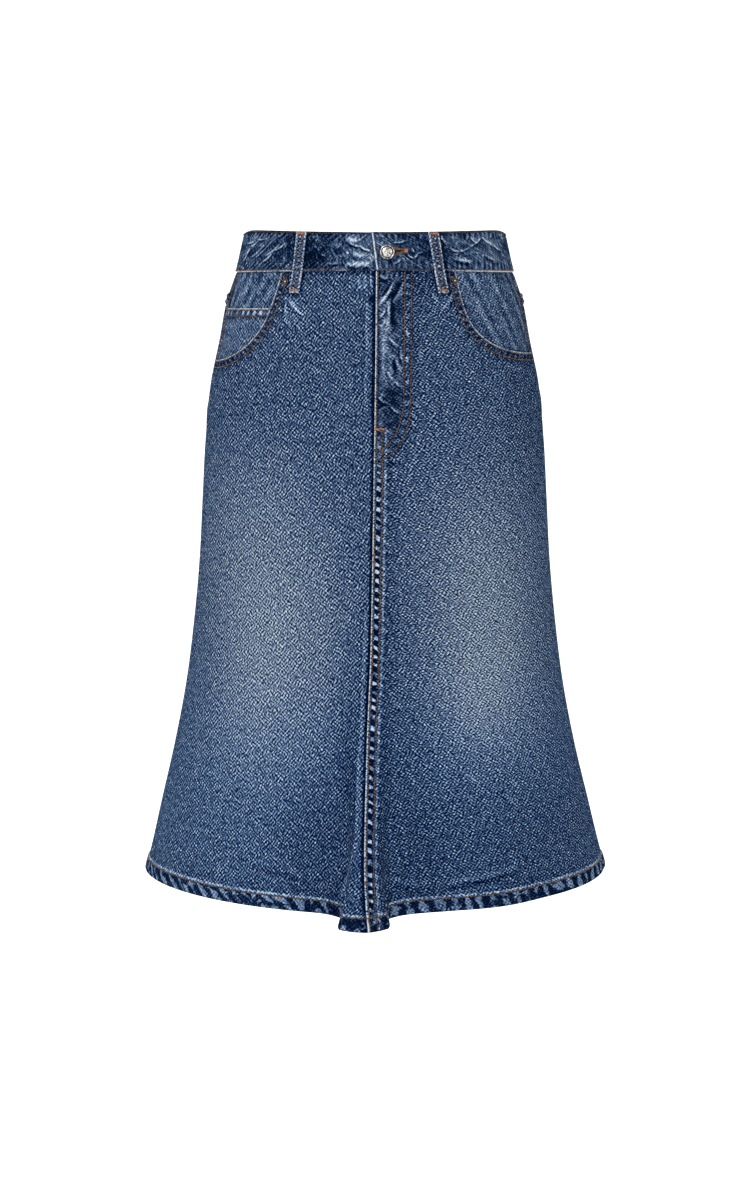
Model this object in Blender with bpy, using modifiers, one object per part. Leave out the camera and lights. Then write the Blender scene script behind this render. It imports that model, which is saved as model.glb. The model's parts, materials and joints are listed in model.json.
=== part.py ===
"""A-line denim skirt with jeans styling, standing open and hollow as it does on a figure.

Metres, +Z up.  The front faces -Y and +X is the wearer's left.  The origin is the middle of the
waistband, where a waist holds the skirt.  Angles run round it from centre front: 0 is the front,
+90 degrees the wearer's left side, 180 the back.  A lift is a distance out from the skirt's
surface, so a piece that lies on another is the same surface with a larger lift.
"""

import math

import bmesh
import bpy
import numpy as np
from mathutils import Vector

# ---------------------------------------------------------------- driving sizes, in metres

CLOTH = 0.0013  # one layer of denim
SEAM_GAP = 0.0003  # between pieces that are sewn edge to edge
LAYER_GAP = 0.00035  # between pieces that lie on each other
UNDER_GAP = 0.0006  # between a panel and the pieces behind it

HEM_DEPTH = 0.014  # the turned-up hem, three layers thick
HEM_SWELL = 0.0005  # how far the hem stands out of the panel
HEM_INSIDE = 0.0006  # and how far it stands in
HEM_ROUND = 0.0012  # height of the rounded fold at its lower edge
HEM_STEP = 0.0010  # height over which the panel thickens into the hem

SIDE_SEAM = math.radians(82)
LAP_WIDTH = 0.0095  # of the lapped centre seams
LAP_JOG = 0.0020  # width over which the upper cloth steps down beside the lap
LAP_LIFT = CLOTH + LAYER_GAP

BAND_CLOTH = 0.0028  # two layers and their turnings
BAND_LIFT = 0.0009
BAND_END_TOP = -0.0043  # where the upper end of the band stops, at its top and lower edge
BAND_END_FOOT = 0.0007
BAND_SETTLE = math.radians(9)  # the stretch over which the upper end comes down to the ring
BAND_UNDERLAP = math.radians(12)  # how far the lower end runs on under it
BAND_DIVE = math.radians(11)  # the stretch over which the lower end goes under
BAND_DIVE_END = math.radians(3)

LOOP_WIDTH = 0.011
LOOP_CLOTH = 0.0015
LOOP_FOOT = -0.0450  # height of its lower end
LOOP_TACK = 0.0045  # length of each sewn end
LOOP_ANGLES = {
    "front_right": -32.7,
    "front_left": 27.0,
    "back_right": -118.0,
    "back_left": 118.0,
    "back_centre": 180.0,
}

YOKE_SIDE_DROP = 0.030  # below the waist seam, at the side seam and at centre back
YOKE_BACK_DROP = 0.064

POCKET_FACING_DROP = 0.122
POCKET_UNDERCUT = math.radians(5)  # how far the facing runs on under its neighbours
COIN_POCKET_TOP = 0.0365  # below the waist seam
COIN_POCKET_FOOT = 0.110

FLY_LENGTH = 0.178
FLY_WIDTH = 0.036
FLY_TAIL = 0.012  # width left at the foot of its curve
FLY_CURVE = 0.045  # height of that curve
FLY_UNDER = 0.014  # how far the shield runs on under the other front

BUTTON_AT = (0.0111, -0.0039)  # x and height
BUTTON_RADIUS = 0.0076
BUTTON_HEAD = 0.0032
SHANK_RADIUS = 0.0030
SHANK_HEIGHT = 0.0016
RIVET_RADIUS = 0.0036
RIVET_HEIGHT = 0.0013
RIVET_AT = {"right": (-0.0912, -0.0334), "left": (0.0806, -0.0325)}
TURNED_STEPS = 28

# The skirt's rings, without its folds: half its width, and how far it reaches in front and behind.
SECTION_COLUMNS = ("height", "half_width", "front", "back")
SECTIONS = (
    (0.030, 0.1318, 0.0860, 0.0885),
    (0.018, 0.1348, 0.0875, 0.0905),
    (-0.024, 0.1449, 0.0925, 0.0985),
    (-0.053, 0.1548, 0.0985, 0.1085),
    (-0.095, 0.1632, 0.1060, 0.1190),
    (-0.137, 0.1722, 0.1120, 0.1260),
    (-0.200, 0.1788, 0.1170, 0.1300),
    (-0.264, 0.1826, 0.1200, 0.1305),
    (-0.328, 0.1864, 0.1230, 0.1310),
    (-0.393, 0.1929, 0.1280, 0.1330),
    (-0.458, 0.2017, 0.1345, 0.1375),
    (-0.524, 0.2147, 0.1430, 0.1445),
    (-0.590, 0.2301, 0.1530, 0.1530),
    (-0.634, 0.2402, 0.1600, 0.1590),
    (-0.680, 0.2518, 0.1675, 0.1650),
)

# The flute that springs from the centre front seam: how far its face reaches forward, the swell of
# the cloth around it, the face's width on each side of the seam, the cloth that turns back beside
# it, how far that is tucked in, and where the seam runs.
FLUTE_COLUMNS = (
    "height", "reach", "swell", "face_right", "face_left", "turn", "tuck", "line",
)
FLUTE = (
    (0.030, 0.000, 0.000, 0.0120, 0.0130, 0.022, 0.000, 0.0013),
    (-0.020, 0.000, 0.000, 0.0120, 0.0130, 0.022, 0.000, 0.0013),
    (-0.240, 0.000, 0.000, 0.0110, 0.0130, 0.022, 0.000, -0.0012),
    (-0.330, 0.0004, 0.000, 0.0090, 0.0130, 0.022, 0.000, -0.0027),
    (-0.415, 0.002, 0.002, 0.0075, 0.0130, 0.020, 0.000, -0.0046),
    (-0.485, 0.005, 0.006, 0.0070, 0.0130, 0.018, 0.000, -0.0077),
    (-0.545, 0.0095, 0.010, 0.0072, 0.0132, 0.016, 0.001, -0.0095),
    (-0.595, 0.0145, 0.014, 0.0088, 0.0140, 0.0145, 0.004, -0.0106),
    (-0.625, 0.0180, 0.016, 0.0130, 0.0153, 0.0140, 0.007, -0.0106),
    (-0.652, 0.0215, 0.0182, 0.0215, 0.0178, 0.0140, 0.012, -0.0092),
    (-0.682, 0.0260, 0.020, 0.0305, 0.0204, 0.0140, 0.016, -0.0066),
)
FLUTE_LEAN = 0.30  # how much less its face reaches forward at its left edge
SWELL_WIDTH = 0.034
RECOVER = 0.045  # width over which tucked cloth comes back to the ring
LINE_WIDTH = 0.090  # width over which the wandering seam pulls the cloth along

# The other folds are soft: where each is, its half width in degrees, how far it reaches out and
# the height at which it starts.
FOLD_COLUMNS = ("angle", "half_angle", "reach", "start")
FOLDS = (
    (180.0, 21.0, 0.020, -0.30),
    (131.0, 18.0, 0.012, -0.38),
    (-127.0, 19.0, 0.014, -0.35),
    (31.0, 17.0, 0.006, -0.40),
    (96.0, 15.0, 0.004, -0.50),
)
FOLD_OPENING = 0.75  # how far a fold has opened at the hem, where 1 is fully and level

# Curved opening of each front pocket: the angle where it leaves the waist seam, how far below that
# seam it meets the side, and how square its corner is (2 is an ellipse).
POCKETS = {
    "right": {"angle": 41.5, "drop": 0.0905, "squareness": 2.6},
    "left": {"angle": 34.6, "drop": 0.0825, "squareness": 3.3},
}

# Heights of the waistband's edges and of the hem at the front, the sides and the back.
BAND_TOP = {"front": 0.0166, "side": 0.0195, "back": 0.0172}
WAIST_SEAM = {"front": -0.0220, "side": -0.0242, "back": -0.0215}
HEM_EDGE = {"front": -0.6705, "side": -0.6625, "back": -0.6665}
HEM_DIP = 0.0070  # how much lower the hem hangs at the flute
HEM_DIP_AT = math.radians(-1)
HEM_DIP_ANGLE = math.radians(9.5)

# How finely the cloth is laid out.
WALL_STEPS = (0.0, 0.12, 0.25, 0.40, 0.60, 0.75, 0.88, 1.0)  # across a flute's turned-back side
RECOVER_STEPS = (0.006, 0.015)
BRIDGE_COLUMNS = 3  # from the flute to the pocket
POCKET_COLUMNS = 11  # along the pocket's opening
BACK_COLUMNS = 17
PANEL_ROWS = 23
ROW_POWERS = (1.25, 1.20)  # above 1, a panel's rows are closer together near its top and hem
FAN_OUT = 0.35  # share of a front panel's height over which its columns become evenly spaced
BAND_COLUMNS = 84

DENIM = {"colour": (0.075, 0.150, 0.300, 1.0), "roughness": 0.90, "metallic": 0.0}
DARK_DENIM = {"colour": (0.045, 0.090, 0.190, 1.0), "roughness": 0.90, "metallic": 0.0}
NICKEL = {"colour": (0.70, 0.69, 0.67, 1.0), "roughness": 0.28, "metallic": 1.0}
GUNMETAL = {"colour": (0.10, 0.095, 0.09, 1.0), "roughness": 0.35, "metallic": 1.0}


# ---------------------------------------------------------------- the skirt's surface


def smooth(share):
    """Smoothstep: 0 below 0, 1 above 1, level at both ends."""
    t = np.clip(share, 0.0, 1.0)
    return t * t * (3.0 - 2.0 * t)


def from_table(columns, rows, name, height):
    """One column of a table at any height: a cubic through its rows, which run downwards."""
    knots = np.array([row[0] for row in rows])[::-1]
    values = np.array([row[columns.index(name)] for row in rows])[::-1]
    slopes = np.gradient(values, knots)
    at = np.clip(height, knots[0], knots[-1])
    i = np.clip(np.searchsorted(knots, at) - 1, 0, len(knots) - 2)
    span = knots[i + 1] - knots[i]
    t = (at - knots[i]) / span
    return (
        values[i] * (1 + 2 * t) * (1 - t) ** 2
        + slopes[i] * span * t * (1 - t) ** 2
        + values[i + 1] * t * t * (3 - 2 * t)
        + slopes[i + 1] * span * t * t * (t - 1)
    )


def section(name, height):
    return from_table(SECTION_COLUMNS, SECTIONS, name, height)


def flute(name, height):
    return from_table(FLUTE_COLUMNS, FLUTE, name, height)


def edge_height(edge, angle):
    """Height of an edge at any angle, blended from its three by the squares of sine and cosine."""
    ahead = np.where(np.cos(angle) > 0, edge["front"], edge["back"])
    return edge["side"] * np.sin(angle) ** 2 + ahead * np.cos(angle) ** 2


def hem_height(angle):
    away = (angle - HEM_DIP_AT) / HEM_DIP_ANGLE
    return edge_height(HEM_EDGE, angle) - HEM_DIP * np.exp(-(away**4))


def surface(angle, height):
    """The skirt's outer surface: an ellipse at each height, then the flute, then the soft folds."""
    angle, height = np.broadcast_arrays(angle, height)
    half_width = section("half_width", height)
    in_front = np.cos(angle) > 0
    depth = np.where(in_front, section("front", height), section("back", height))
    across = half_width * np.sin(angle)
    y = -depth * np.cos(angle)

    # The flute: cloth near the centre seam comes forward, and turns back beside its face.
    distance = np.abs(across)
    wearers_left = across > 0
    face = np.where(wearers_left, flute("face_left", height), flute("face_right", height))
    turn = flute("turn", height)
    turned = smooth((distance - face) / turn)
    lean = np.where(wearers_left, 1.0 - FLUTE_LEAN * distance / face, 1.0)
    swell = flute("swell", height) * np.exp(-0.5 * (distance / SWELL_WIDTH) ** 2)
    forward = flute("reach", height) * lean * (1.0 - turned) + swell
    recovered = smooth((distance - face - turn) / RECOVER)
    tucked = flute("tuck", height) * turned * (1.0 - recovered)
    shift = flute("line", height) * np.exp(-((across / LINE_WIDTH) ** 2))
    x = across + np.where(in_front, shift - np.sign(across) * tucked, 0.0)
    y = y - np.where(in_front, forward, 0.0)

    # The soft folds: each swells outwards as it nears the hem.
    for row in FOLDS:
        fold = dict(zip(FOLD_COLUMNS, row))
        away = (np.degrees(angle) - fold["angle"] + 180.0) % 360.0 - 180.0
        ridge = np.cos(0.5 * math.pi * np.clip(away / fold["half_angle"], -1.0, 1.0)) ** 2
        down = (fold["start"] - height) / (fold["start"] - HEM_EDGE["front"])
        out = fold["reach"] * ridge * smooth(FOLD_OPENING * down)
        x = x + out * np.sin(angle)
        y = y - out * np.cos(angle)
    return np.stack([x, y, height], axis=-1)


def outward(angle, height):
    """Unit normal of the surface, from the cross product of its two slopes."""
    turn, rise = 1e-4, 1e-4
    around = surface(angle + turn, height) - surface(angle - turn, height)
    upward = surface(angle, height + rise) - surface(angle, height - rise)
    normal = np.cross(around, upward)
    return normal / np.linalg.norm(normal, axis=-1, keepdims=True)


def lifted(angle, height, lift):
    """Points that lie a given distance out from the surface."""
    angle, height, lift = np.broadcast_arrays(angle, height, lift)
    return surface(angle, height) + outward(angle, height) * lift[..., None]


def angle_at(across, height):
    """The angle at which the ring is a given distance to one side of centre front."""
    return np.arcsin(across / section("half_width", height))


def angle_for_width(width, angle, height):
    """The angle that spans a width along the surface."""
    turn = 1e-4
    run = surface(angle + turn, height) - surface(angle - turn, height)
    return width * 2 * turn / np.linalg.norm(run, axis=-1)


# ---------------------------------------------------------------- how pieces are made


def make_material(name, look):
    material = bpy.data.materials.new(name)
    material.use_nodes = True
    shader = material.node_tree.nodes["Principled BSDF"]
    shader.inputs["Base Color"].default_value = look["colour"]
    shader.inputs["Roughness"].default_value = look["roughness"]
    shader.inputs["Metallic"].default_value = look["metallic"]
    material.diffuse_color = look["colour"]
    return material


def cloth_wall(name, outer, inner, material, collection):
    """A closed wall of cloth between two grids of points, rows running down and columns round."""
    rows, columns = outer.shape[:2]
    bm = bmesh.new()
    skins = []
    for points in (outer, inner):
        skins.append([[bm.verts.new(point) for point in row] for row in points])
    front, behind = skins
    for r in range(rows - 1):
        for c in range(columns - 1):
            bm.faces.new((front[r][c], front[r + 1][c], front[r + 1][c + 1], front[r][c + 1]))
            bm.faces.new((behind[r][c], behind[r][c + 1], behind[r + 1][c + 1], behind[r + 1][c]))
    around = [(0, c) for c in range(columns)]
    around += [(r, columns - 1) for r in range(1, rows)]
    around += [(rows - 1, c) for c in range(columns - 2, -1, -1)]
    around += [(r, 0) for r in range(rows - 2, 0, -1)]
    for (r0, c0), (r1, c1) in zip(around, around[1:] + around[:1]):
        bm.faces.new((front[r0][c0], front[r1][c1], behind[r1][c1], behind[r0][c0]))
    mesh = bpy.data.meshes.new(name)
    bm.to_mesh(mesh)
    bm.free()
    mesh.shade_smooth()
    mesh.set_sharp_from_angle(angle=math.radians(40))
    mesh.materials.append(material)
    piece = bpy.data.objects.new(name, mesh)
    collection.objects.link(piece)
    return piece


def turned_piece(name, profile, base, normal, material, collection):
    """A turned piece that stands on the cloth: its profile runs from its crown out and down."""
    mesh = bpy.data.meshes.new(name)
    mesh.from_pydata([(r, 0.0, z) for r, z in profile], [(i, i + 1) for i in range(len(profile) - 1)], [])
    mesh.materials.append(material)
    piece = bpy.data.objects.new(name, mesh)
    collection.objects.link(piece)
    screw = piece.modifiers.new("Turned", "SCREW")
    screw.steps = screw.render_steps = TURNED_STEPS
    screw.use_merge_vertices = True
    screw.merge_threshold = 0.00005
    piece.location = base
    piece.rotation_mode = "QUATERNION"
    piece.rotation_quaternion = Vector(normal).to_track_quat("Z", "X")
    return piece


# ---------------------------------------------------------------- panels


def hem_rows():
    """Heights above the hem's edge, with how far the hem stands out and in there."""
    return (
        (HEM_DEPTH + HEM_STEP, 0.0, 0.0),
        (HEM_DEPTH, HEM_SWELL, HEM_INSIDE),
        (HEM_ROUND, HEM_SWELL, HEM_INSIDE),
        (0.0, -0.3 * CLOTH, -0.3 * CLOTH),
    )


def panel(name, tops, angles_at, laps, material, collection):
    """A panel that hangs from the height of each column's top to the hem, one cloth thick and
    thicker at the hem.  angles_at gives the columns' angles at a share of the way down, and laps
    how far each column is lifted where it lies on its neighbour."""
    hem = hem_rows()
    evenly = np.arange(PANEL_ROWS) / PANEL_ROWS
    shares = 1.0 - (1.0 - evenly ** ROW_POWERS[0]) ** ROW_POWERS[1]
    rows = [(share, 0.0, 0.0, 0.0) for share in shares]
    rows += [(1.0, above - hem[0][0], swell, inside) for above, swell, inside in hem]
    outer, inner = [], []
    for share, below, swell, inside in rows:
        angles = angles_at(share)
        hem_top = hem_height(angles) + hem[0][0]
        heights = tops + (hem_top - tops) * share + below
        raised = laps * (LAP_LIFT + max(inside, 0.0) + max(swell, 0.0))
        outer.append(lifted(angles, heights, swell + raised))
        inner.append(lifted(angles, heights, raised - CLOTH - inside))
    return cloth_wall(name, np.array(outer), np.array(inner), material, collection)


def panel_top(angle):
    return edge_height(WAIST_SEAM, angle) - SEAM_GAP


def pocket_edge(side):
    """Angles and drops below the waist seam of points evenly spaced along a pocket's opening,
    which is a quarter of a superellipse."""
    pocket = POCKETS[side]
    start, power = math.radians(pocket["angle"]), 2.0 / pocket["squareness"]
    turned = np.linspace(0.0, 0.5 * math.pi, 400)
    angles = start + (SIDE_SEAM - start) * (1.0 - np.cos(turned) ** power)
    drops = pocket["drop"] * np.sin(turned) ** power
    steps = np.hypot(np.diff(angles) * section("front", -0.1), np.diff(drops))
    run = np.concatenate([[0.0], np.cumsum(steps)])
    at = np.linspace(0.0, run[-1], POCKET_COLUMNS + 1)[1:]
    return np.interp(at, run, angles), np.interp(at, run, drops)


def front_panel(side, material, collection):
    """Front panel from the centre seam to its pocket's opening and side seam.  The left one laps
    over the right one at the centre, so the right one runs on under it."""
    hand = 1 if side == "left" else -1
    if side == "left":
        near, laps = [0.0, LAP_WIDTH, LAP_WIDTH + LAP_JOG], [1.0, 1.0, 0.0]
    else:
        near, laps = [SEAM_GAP - LAP_WIDTH, 0.0], [0.0, 0.0]
    pocket_start = math.radians(POCKETS[side]["angle"])
    pocket_angles, pocket_drops = pocket_edge(side)

    def angles_at(share):
        height = panel_top(0.0) + (hem_height(0.0) - panel_top(0.0)) * share
        face, turn = flute("face_" + side, height), flute("turn", height)
        wall = [face + turn * step for step in WALL_STEPS]
        distances = near + wall + [wall[-1] + more for more in RECOVER_STEPS]
        inside = angle_at(np.array(distances), height)
        bridge = np.linspace(inside[-1], pocket_start, BRIDGE_COLUMNS + 1)[1:]
        spread_out = np.concatenate([bridge, pocket_angles])
        even = np.linspace(inside[-1], SIDE_SEAM, len(spread_out) + 1)[1:]
        outside = spread_out + (even - spread_out) * smooth(share / FAN_OUT)
        outside[-1] -= angle_for_width(0.5 * SEAM_GAP, SIDE_SEAM, height)
        return hand * np.concatenate([inside, outside])[::hand]

    count = len(angles_at(0.0))
    drops = np.zeros(count)
    drops[-POCKET_COLUMNS:] = pocket_drops
    tops = panel_top(angles_at(0.0)) - drops[::hand]
    lifts = np.array(laps + [0.0] * (count - len(laps)))[::hand]
    return panel("front_" + side, tops, angles_at, lifts, material, collection)


def yoke_foot(angle):
    """Height of the yoke's lower edge, which dips from the side seams to a point at centre back."""
    share = (np.abs(angle) - SIDE_SEAM) / (math.pi - SIDE_SEAM)
    return panel_top(angle) - YOKE_SIDE_DROP - (YOKE_BACK_DROP - YOKE_SIDE_DROP) * share


def back_angles(side, height, columns=BACK_COLUMNS):
    """Angles of a back piece's columns, from its side seam to centre back."""
    hand = 1 if side == "left" else -1
    start = SIDE_SEAM + angle_for_width(0.5 * SEAM_GAP, SIDE_SEAM, height)
    end = math.pi - angle_for_width(0.5 * SEAM_GAP, math.pi, height)
    return hand * np.linspace(start, end, columns + 1)[::hand]


def back_panel(side, material, collection):
    def angles_at(share):
        start = yoke_foot(math.pi)
        return back_angles(side, start + (HEM_EDGE["back"] - start) * share)

    tops = yoke_foot(angles_at(0.0)) - SEAM_GAP
    laps = np.zeros(BACK_COLUMNS + 1)
    return panel("back_" + side, tops, angles_at, laps, material, collection)


def yoke(side, material, collection):
    angles = back_angles(side, panel_top(math.pi))[None, :]
    down = np.linspace(0.0, 1.0, 4)[:, None]
    heights = panel_top(angles) + (yoke_foot(angles) - panel_top(angles)) * down
    outer, inner = lifted(angles, heights, 0.0), lifted(angles, heights, -CLOTH)
    return cloth_wall("yoke_" + side, outer, inner, material, collection)


# ---------------------------------------------------------------- what is sewn to them


def pocket_facing(side, material, collection):
    """The cloth that shows inside a pocket's opening.  It runs on under the front panel and a
    little past the side seam; on the right it also lies under the coin pocket."""
    start = math.radians(POCKETS[side]["angle"]) - POCKET_UNDERCUT
    end = SIDE_SEAM + POCKET_UNDERCUT
    hand = 1.0 if side == "left" else -1.0
    angles = hand * np.linspace(start, end, 12)[:: int(hand)]
    lift = -(CLOTH + UNDER_GAP) - (CLOTH + LAYER_GAP if side == "right" else 0.0)
    drops = np.linspace(0.0, POCKET_FACING_DROP, 9)[:, None]
    heights = panel_top(angles)[None, :] - drops
    outer = lifted(angles[None, :], heights, lift)
    inner = lifted(angles[None, :], heights, lift - CLOTH)
    return cloth_wall("pocket_facing_" + side, outer, inner, material, collection)


def coin_pocket(material, collection):
    """Small pocket on the right facing; its inner end and foot are under the front panel."""
    start = math.radians(POCKETS["right"]["angle"]) - 0.6 * POCKET_UNDERCUT
    end = SIDE_SEAM - 0.5 * math.radians(1)
    angles = -np.linspace(start, end, 11)[::-1]
    lift = -(CLOTH + UNDER_GAP)
    drops = np.linspace(COIN_POCKET_TOP, COIN_POCKET_FOOT, 8)[:, None]
    heights = panel_top(angles)[None, :] - drops
    outer = lifted(angles[None, :], heights, lift)
    inner = lifted(angles[None, :], heights, lift - CLOTH)
    return cloth_wall("coin_pocket", outer, inner, material, collection)


def fly_shield(material, collection):
    """The strip behind the fly's slit.  Its far edge curves in to the seam at its foot."""
    level = np.linspace(0.0, 1.0, 13)
    drops = FLY_LENGTH * level
    curve = np.clip((drops - (FLY_LENGTH - FLY_CURVE)) / FLY_CURVE, 0.0, 1.0)
    far = FLY_TAIL + (FLY_WIDTH - FLY_TAIL) * np.sqrt(1.0 - curve**2)
    across = -FLY_UNDER + (far[:, None] + FLY_UNDER) * np.linspace(0.0, 1.0, 7)[None, :]
    heights = panel_top(0.0) - drops[:, None] + 0.0 * across
    angles = angle_at(across, heights)
    lift = -(CLOTH + UNDER_GAP)
    outer = lifted(angles, heights, lift)
    inner = lifted(angles, heights, lift - CLOTH)
    return cloth_wall("fly_shield", outer, inner, material, collection)


def band_lift(angle):
    """Lift of the waistband's outer face at an angle from its upper end on: that end lies higher,
    over the centre lap, and then comes down to the ring."""
    return BAND_LIFT + LAP_LIFT * (1.0 - smooth(angle / BAND_SETTLE))


def waistband(material, collection):
    """One strip round the waist.  Its upper end stops at centre front, and its other end dives
    under that one and runs on to carry the button."""
    end = 2.0 * math.pi + BAND_UNDERLAP
    dive_from = 2.0 * math.pi - BAND_DIVE - BAND_DIVE_END
    outer, inner = [], []
    for down in np.linspace(0.0, 1.0, 4):
        stop = BAND_END_TOP + (BAND_END_FOOT - BAND_END_TOP) * down
        middle = BAND_TOP["front"] + (WAIST_SEAM["front"] - BAND_TOP["front"]) * down
        start = float(angle_at(stop, middle))
        angles = start + (end - start) * np.linspace(0.0, 1.0, BAND_COLUMNS + 1)
        top, foot = edge_height(BAND_TOP, angles), edge_height(WAIST_SEAM, angles)
        heights = top + (foot - top) * down
        beneath = band_lift(angles - 2.0 * math.pi) - BAND_CLOTH - LAYER_GAP
        dived = smooth((angles - dive_from) / BAND_DIVE)
        lift = band_lift(angles) * (1.0 - dived) + beneath * dived
        outer.append(lifted(angles, heights, lift))
        inner.append(lifted(angles, heights, lift - BAND_CLOTH))
    return cloth_wall("waistband", np.array(outer), np.array(inner), material, collection)


def belt_loop(place, degrees, material, collection):
    """A strip from the waistband's top edge to a tack below the waist seam.  It lies on the band,
    bows out a little between its tacks and comes down to the panel at its foot."""
    angle = math.radians(degrees)
    top = float(edge_height(BAND_TOP, angle)) - SEAM_GAP
    seam = float(edge_height(WAIST_SEAM, angle))
    on_band = BAND_LIFT + LAYER_GAP
    # Height down the loop, and how far its inner and outer faces stand out of the surface.
    profile = (
        (top, on_band, on_band + LOOP_CLOTH),
        (top - LOOP_TACK, on_band, on_band + LOOP_CLOTH),
        (0.5 * (top + seam), on_band + 0.0006, on_band + 0.0006 + LOOP_CLOTH),
        (seam, on_band + 0.0002, on_band + 0.0002 + LOOP_CLOTH),
        (LOOP_FOOT + 1.6 * LOOP_TACK, LAYER_GAP + 0.0004, LAYER_GAP + 0.0006 + LOOP_CLOTH),
        (LOOP_FOOT + LOOP_TACK, LAYER_GAP, LAYER_GAP + 1.6 * LOOP_CLOTH),
        (LOOP_FOOT, LAYER_GAP, LAYER_GAP + 1.4 * LOOP_CLOTH),
    )
    outer, inner = [], []
    for height, under, over in profile:
        half = 0.5 * angle_for_width(LOOP_WIDTH, angle, height)
        angles = angle + half * np.linspace(-1.0, 1.0, 4)
        heights = np.full(4, height)
        outer.append(lifted(angles, heights, over))
        inner.append(lifted(angles, heights, under))
    name = "belt_loop_" + place
    return cloth_wall(name, np.array(outer), np.array(inner), material, collection)


def button(material, collection):
    """Shank button: a shallow dish with a raised rim and a low boss, on a short shank."""
    across, height = BUTTON_AT
    angle = float(angle_at(across, height))
    base = lifted(angle, height, band_lift(angle) + LAYER_GAP)
    rim = SHANK_HEIGHT + BUTTON_HEAD
    profile = (
        (0.0, rim - 0.0002),
        (0.35 * BUTTON_RADIUS, rim - 0.0003),
        (0.60 * BUTTON_RADIUS, rim - 0.0008),
        (0.74 * BUTTON_RADIUS, rim - 0.0009),
        (0.82 * BUTTON_RADIUS, rim - 0.0003),
        (0.92 * BUTTON_RADIUS, rim - 0.0004),
        (BUTTON_RADIUS, rim - 0.0012),
        (0.96 * BUTTON_RADIUS, SHANK_HEIGHT + 0.0004),
        (0.80 * BUTTON_RADIUS, SHANK_HEIGHT),
        (SHANK_RADIUS, SHANK_HEIGHT),
        (SHANK_RADIUS, 0.0),
        (0.0, 0.0),
    )
    return turned_piece("button", profile, base, outward(angle, height), material, collection)


def rivet(side, material, collection):
    """Rivet at the inner corner of a pocket's opening: a flange with a domed nipple."""
    across, height = RIVET_AT[side]
    angle = float(angle_at(across, height))
    base = lifted(angle, height, LAYER_GAP)
    profile = (
        (0.0, RIVET_HEIGHT),
        (0.25 * RIVET_RADIUS, 0.90 * RIVET_HEIGHT),
        (0.45 * RIVET_RADIUS, 0.60 * RIVET_HEIGHT),
        (0.60 * RIVET_RADIUS, 0.55 * RIVET_HEIGHT),
        (0.88 * RIVET_RADIUS, 0.60 * RIVET_HEIGHT),
        (RIVET_RADIUS, 0.35 * RIVET_HEIGHT),
        (0.95 * RIVET_RADIUS, 0.0),
        (0.0, 0.0),
    )
    name = "rivet_" + side
    return turned_piece(name, profile, base, outward(angle, height), material, collection)


def main():
    for old in list(bpy.data.objects):
        bpy.data.objects.remove(old, do_unlink=True)
    collection = bpy.data.collections.new("denim_skirt")
    bpy.context.scene.collection.children.link(collection)
    denim = make_material("denim", DENIM)
    dark_denim = make_material("dark_denim", DARK_DENIM)
    nickel = make_material("nickel", NICKEL)
    gunmetal = make_material("gunmetal", GUNMETAL)

    for side in ("right", "left"):
        front_panel(side, denim, collection)
        back_panel(side, denim, collection)
        yoke(side, denim, collection)
        pocket_facing(side, denim, collection)
        rivet(side, gunmetal, collection)
    coin_pocket(denim, collection)
    fly_shield(denim, collection)
    waistband(dark_denim, collection)
    for place, degrees in LOOP_ANGLES.items():
        belt_loop(place, degrees, denim, collection)
    button(nickel, collection)


main()
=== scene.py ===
"""Looks of the denim skirt: washed cloth, sewing, button and rivets, dressed over its plain solids.

Metres, +Z up.  The front faces -Y and +X is the wearer's left.  The origin is the middle of the
waistband.  Angles run round it from centre front: 0 is the front, +90 degrees the wearer's left
side, 180 the back.  A lift is a distance out from the skirt's surface.  Girth is the distance
round the skirt from centre front at one height, and is negative on the wearer's right.
"""

import json
import math

import bpy
import numpy as np
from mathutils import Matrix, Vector

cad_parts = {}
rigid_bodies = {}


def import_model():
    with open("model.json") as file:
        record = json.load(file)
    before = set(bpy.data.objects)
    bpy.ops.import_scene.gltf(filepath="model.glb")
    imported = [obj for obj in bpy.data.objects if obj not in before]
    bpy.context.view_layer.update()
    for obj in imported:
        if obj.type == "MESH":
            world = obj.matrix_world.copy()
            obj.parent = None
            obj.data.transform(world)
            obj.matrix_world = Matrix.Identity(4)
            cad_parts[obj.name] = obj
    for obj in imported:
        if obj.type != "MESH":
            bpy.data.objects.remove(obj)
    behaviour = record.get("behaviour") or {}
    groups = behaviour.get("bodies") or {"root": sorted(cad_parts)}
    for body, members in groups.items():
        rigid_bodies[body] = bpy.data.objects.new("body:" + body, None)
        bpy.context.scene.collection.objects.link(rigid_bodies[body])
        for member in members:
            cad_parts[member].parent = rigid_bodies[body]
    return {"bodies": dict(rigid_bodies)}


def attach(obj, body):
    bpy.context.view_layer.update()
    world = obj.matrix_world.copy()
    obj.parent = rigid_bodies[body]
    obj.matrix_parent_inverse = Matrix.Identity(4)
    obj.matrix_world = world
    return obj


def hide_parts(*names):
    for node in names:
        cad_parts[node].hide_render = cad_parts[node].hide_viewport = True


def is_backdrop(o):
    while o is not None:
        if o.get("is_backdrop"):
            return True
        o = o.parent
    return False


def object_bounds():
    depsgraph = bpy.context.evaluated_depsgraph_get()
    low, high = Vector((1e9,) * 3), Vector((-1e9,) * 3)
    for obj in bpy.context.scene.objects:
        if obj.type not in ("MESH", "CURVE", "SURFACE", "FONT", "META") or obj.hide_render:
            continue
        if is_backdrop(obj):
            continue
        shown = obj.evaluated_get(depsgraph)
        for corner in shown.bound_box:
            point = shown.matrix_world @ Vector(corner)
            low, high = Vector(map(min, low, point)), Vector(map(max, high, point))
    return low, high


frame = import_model()
cad_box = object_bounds()

# ---------------------------------------------------------------- camera

CAMERA_AT = (-0.0012, -2.6, 0.0)
CAMERA_DOWN = math.radians(8.13)
LENS_MM, SENSOR_MM = 73.8, 36.0



def show(thing):
    bpy.context.scene.collection.objects.link(thing)


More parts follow.
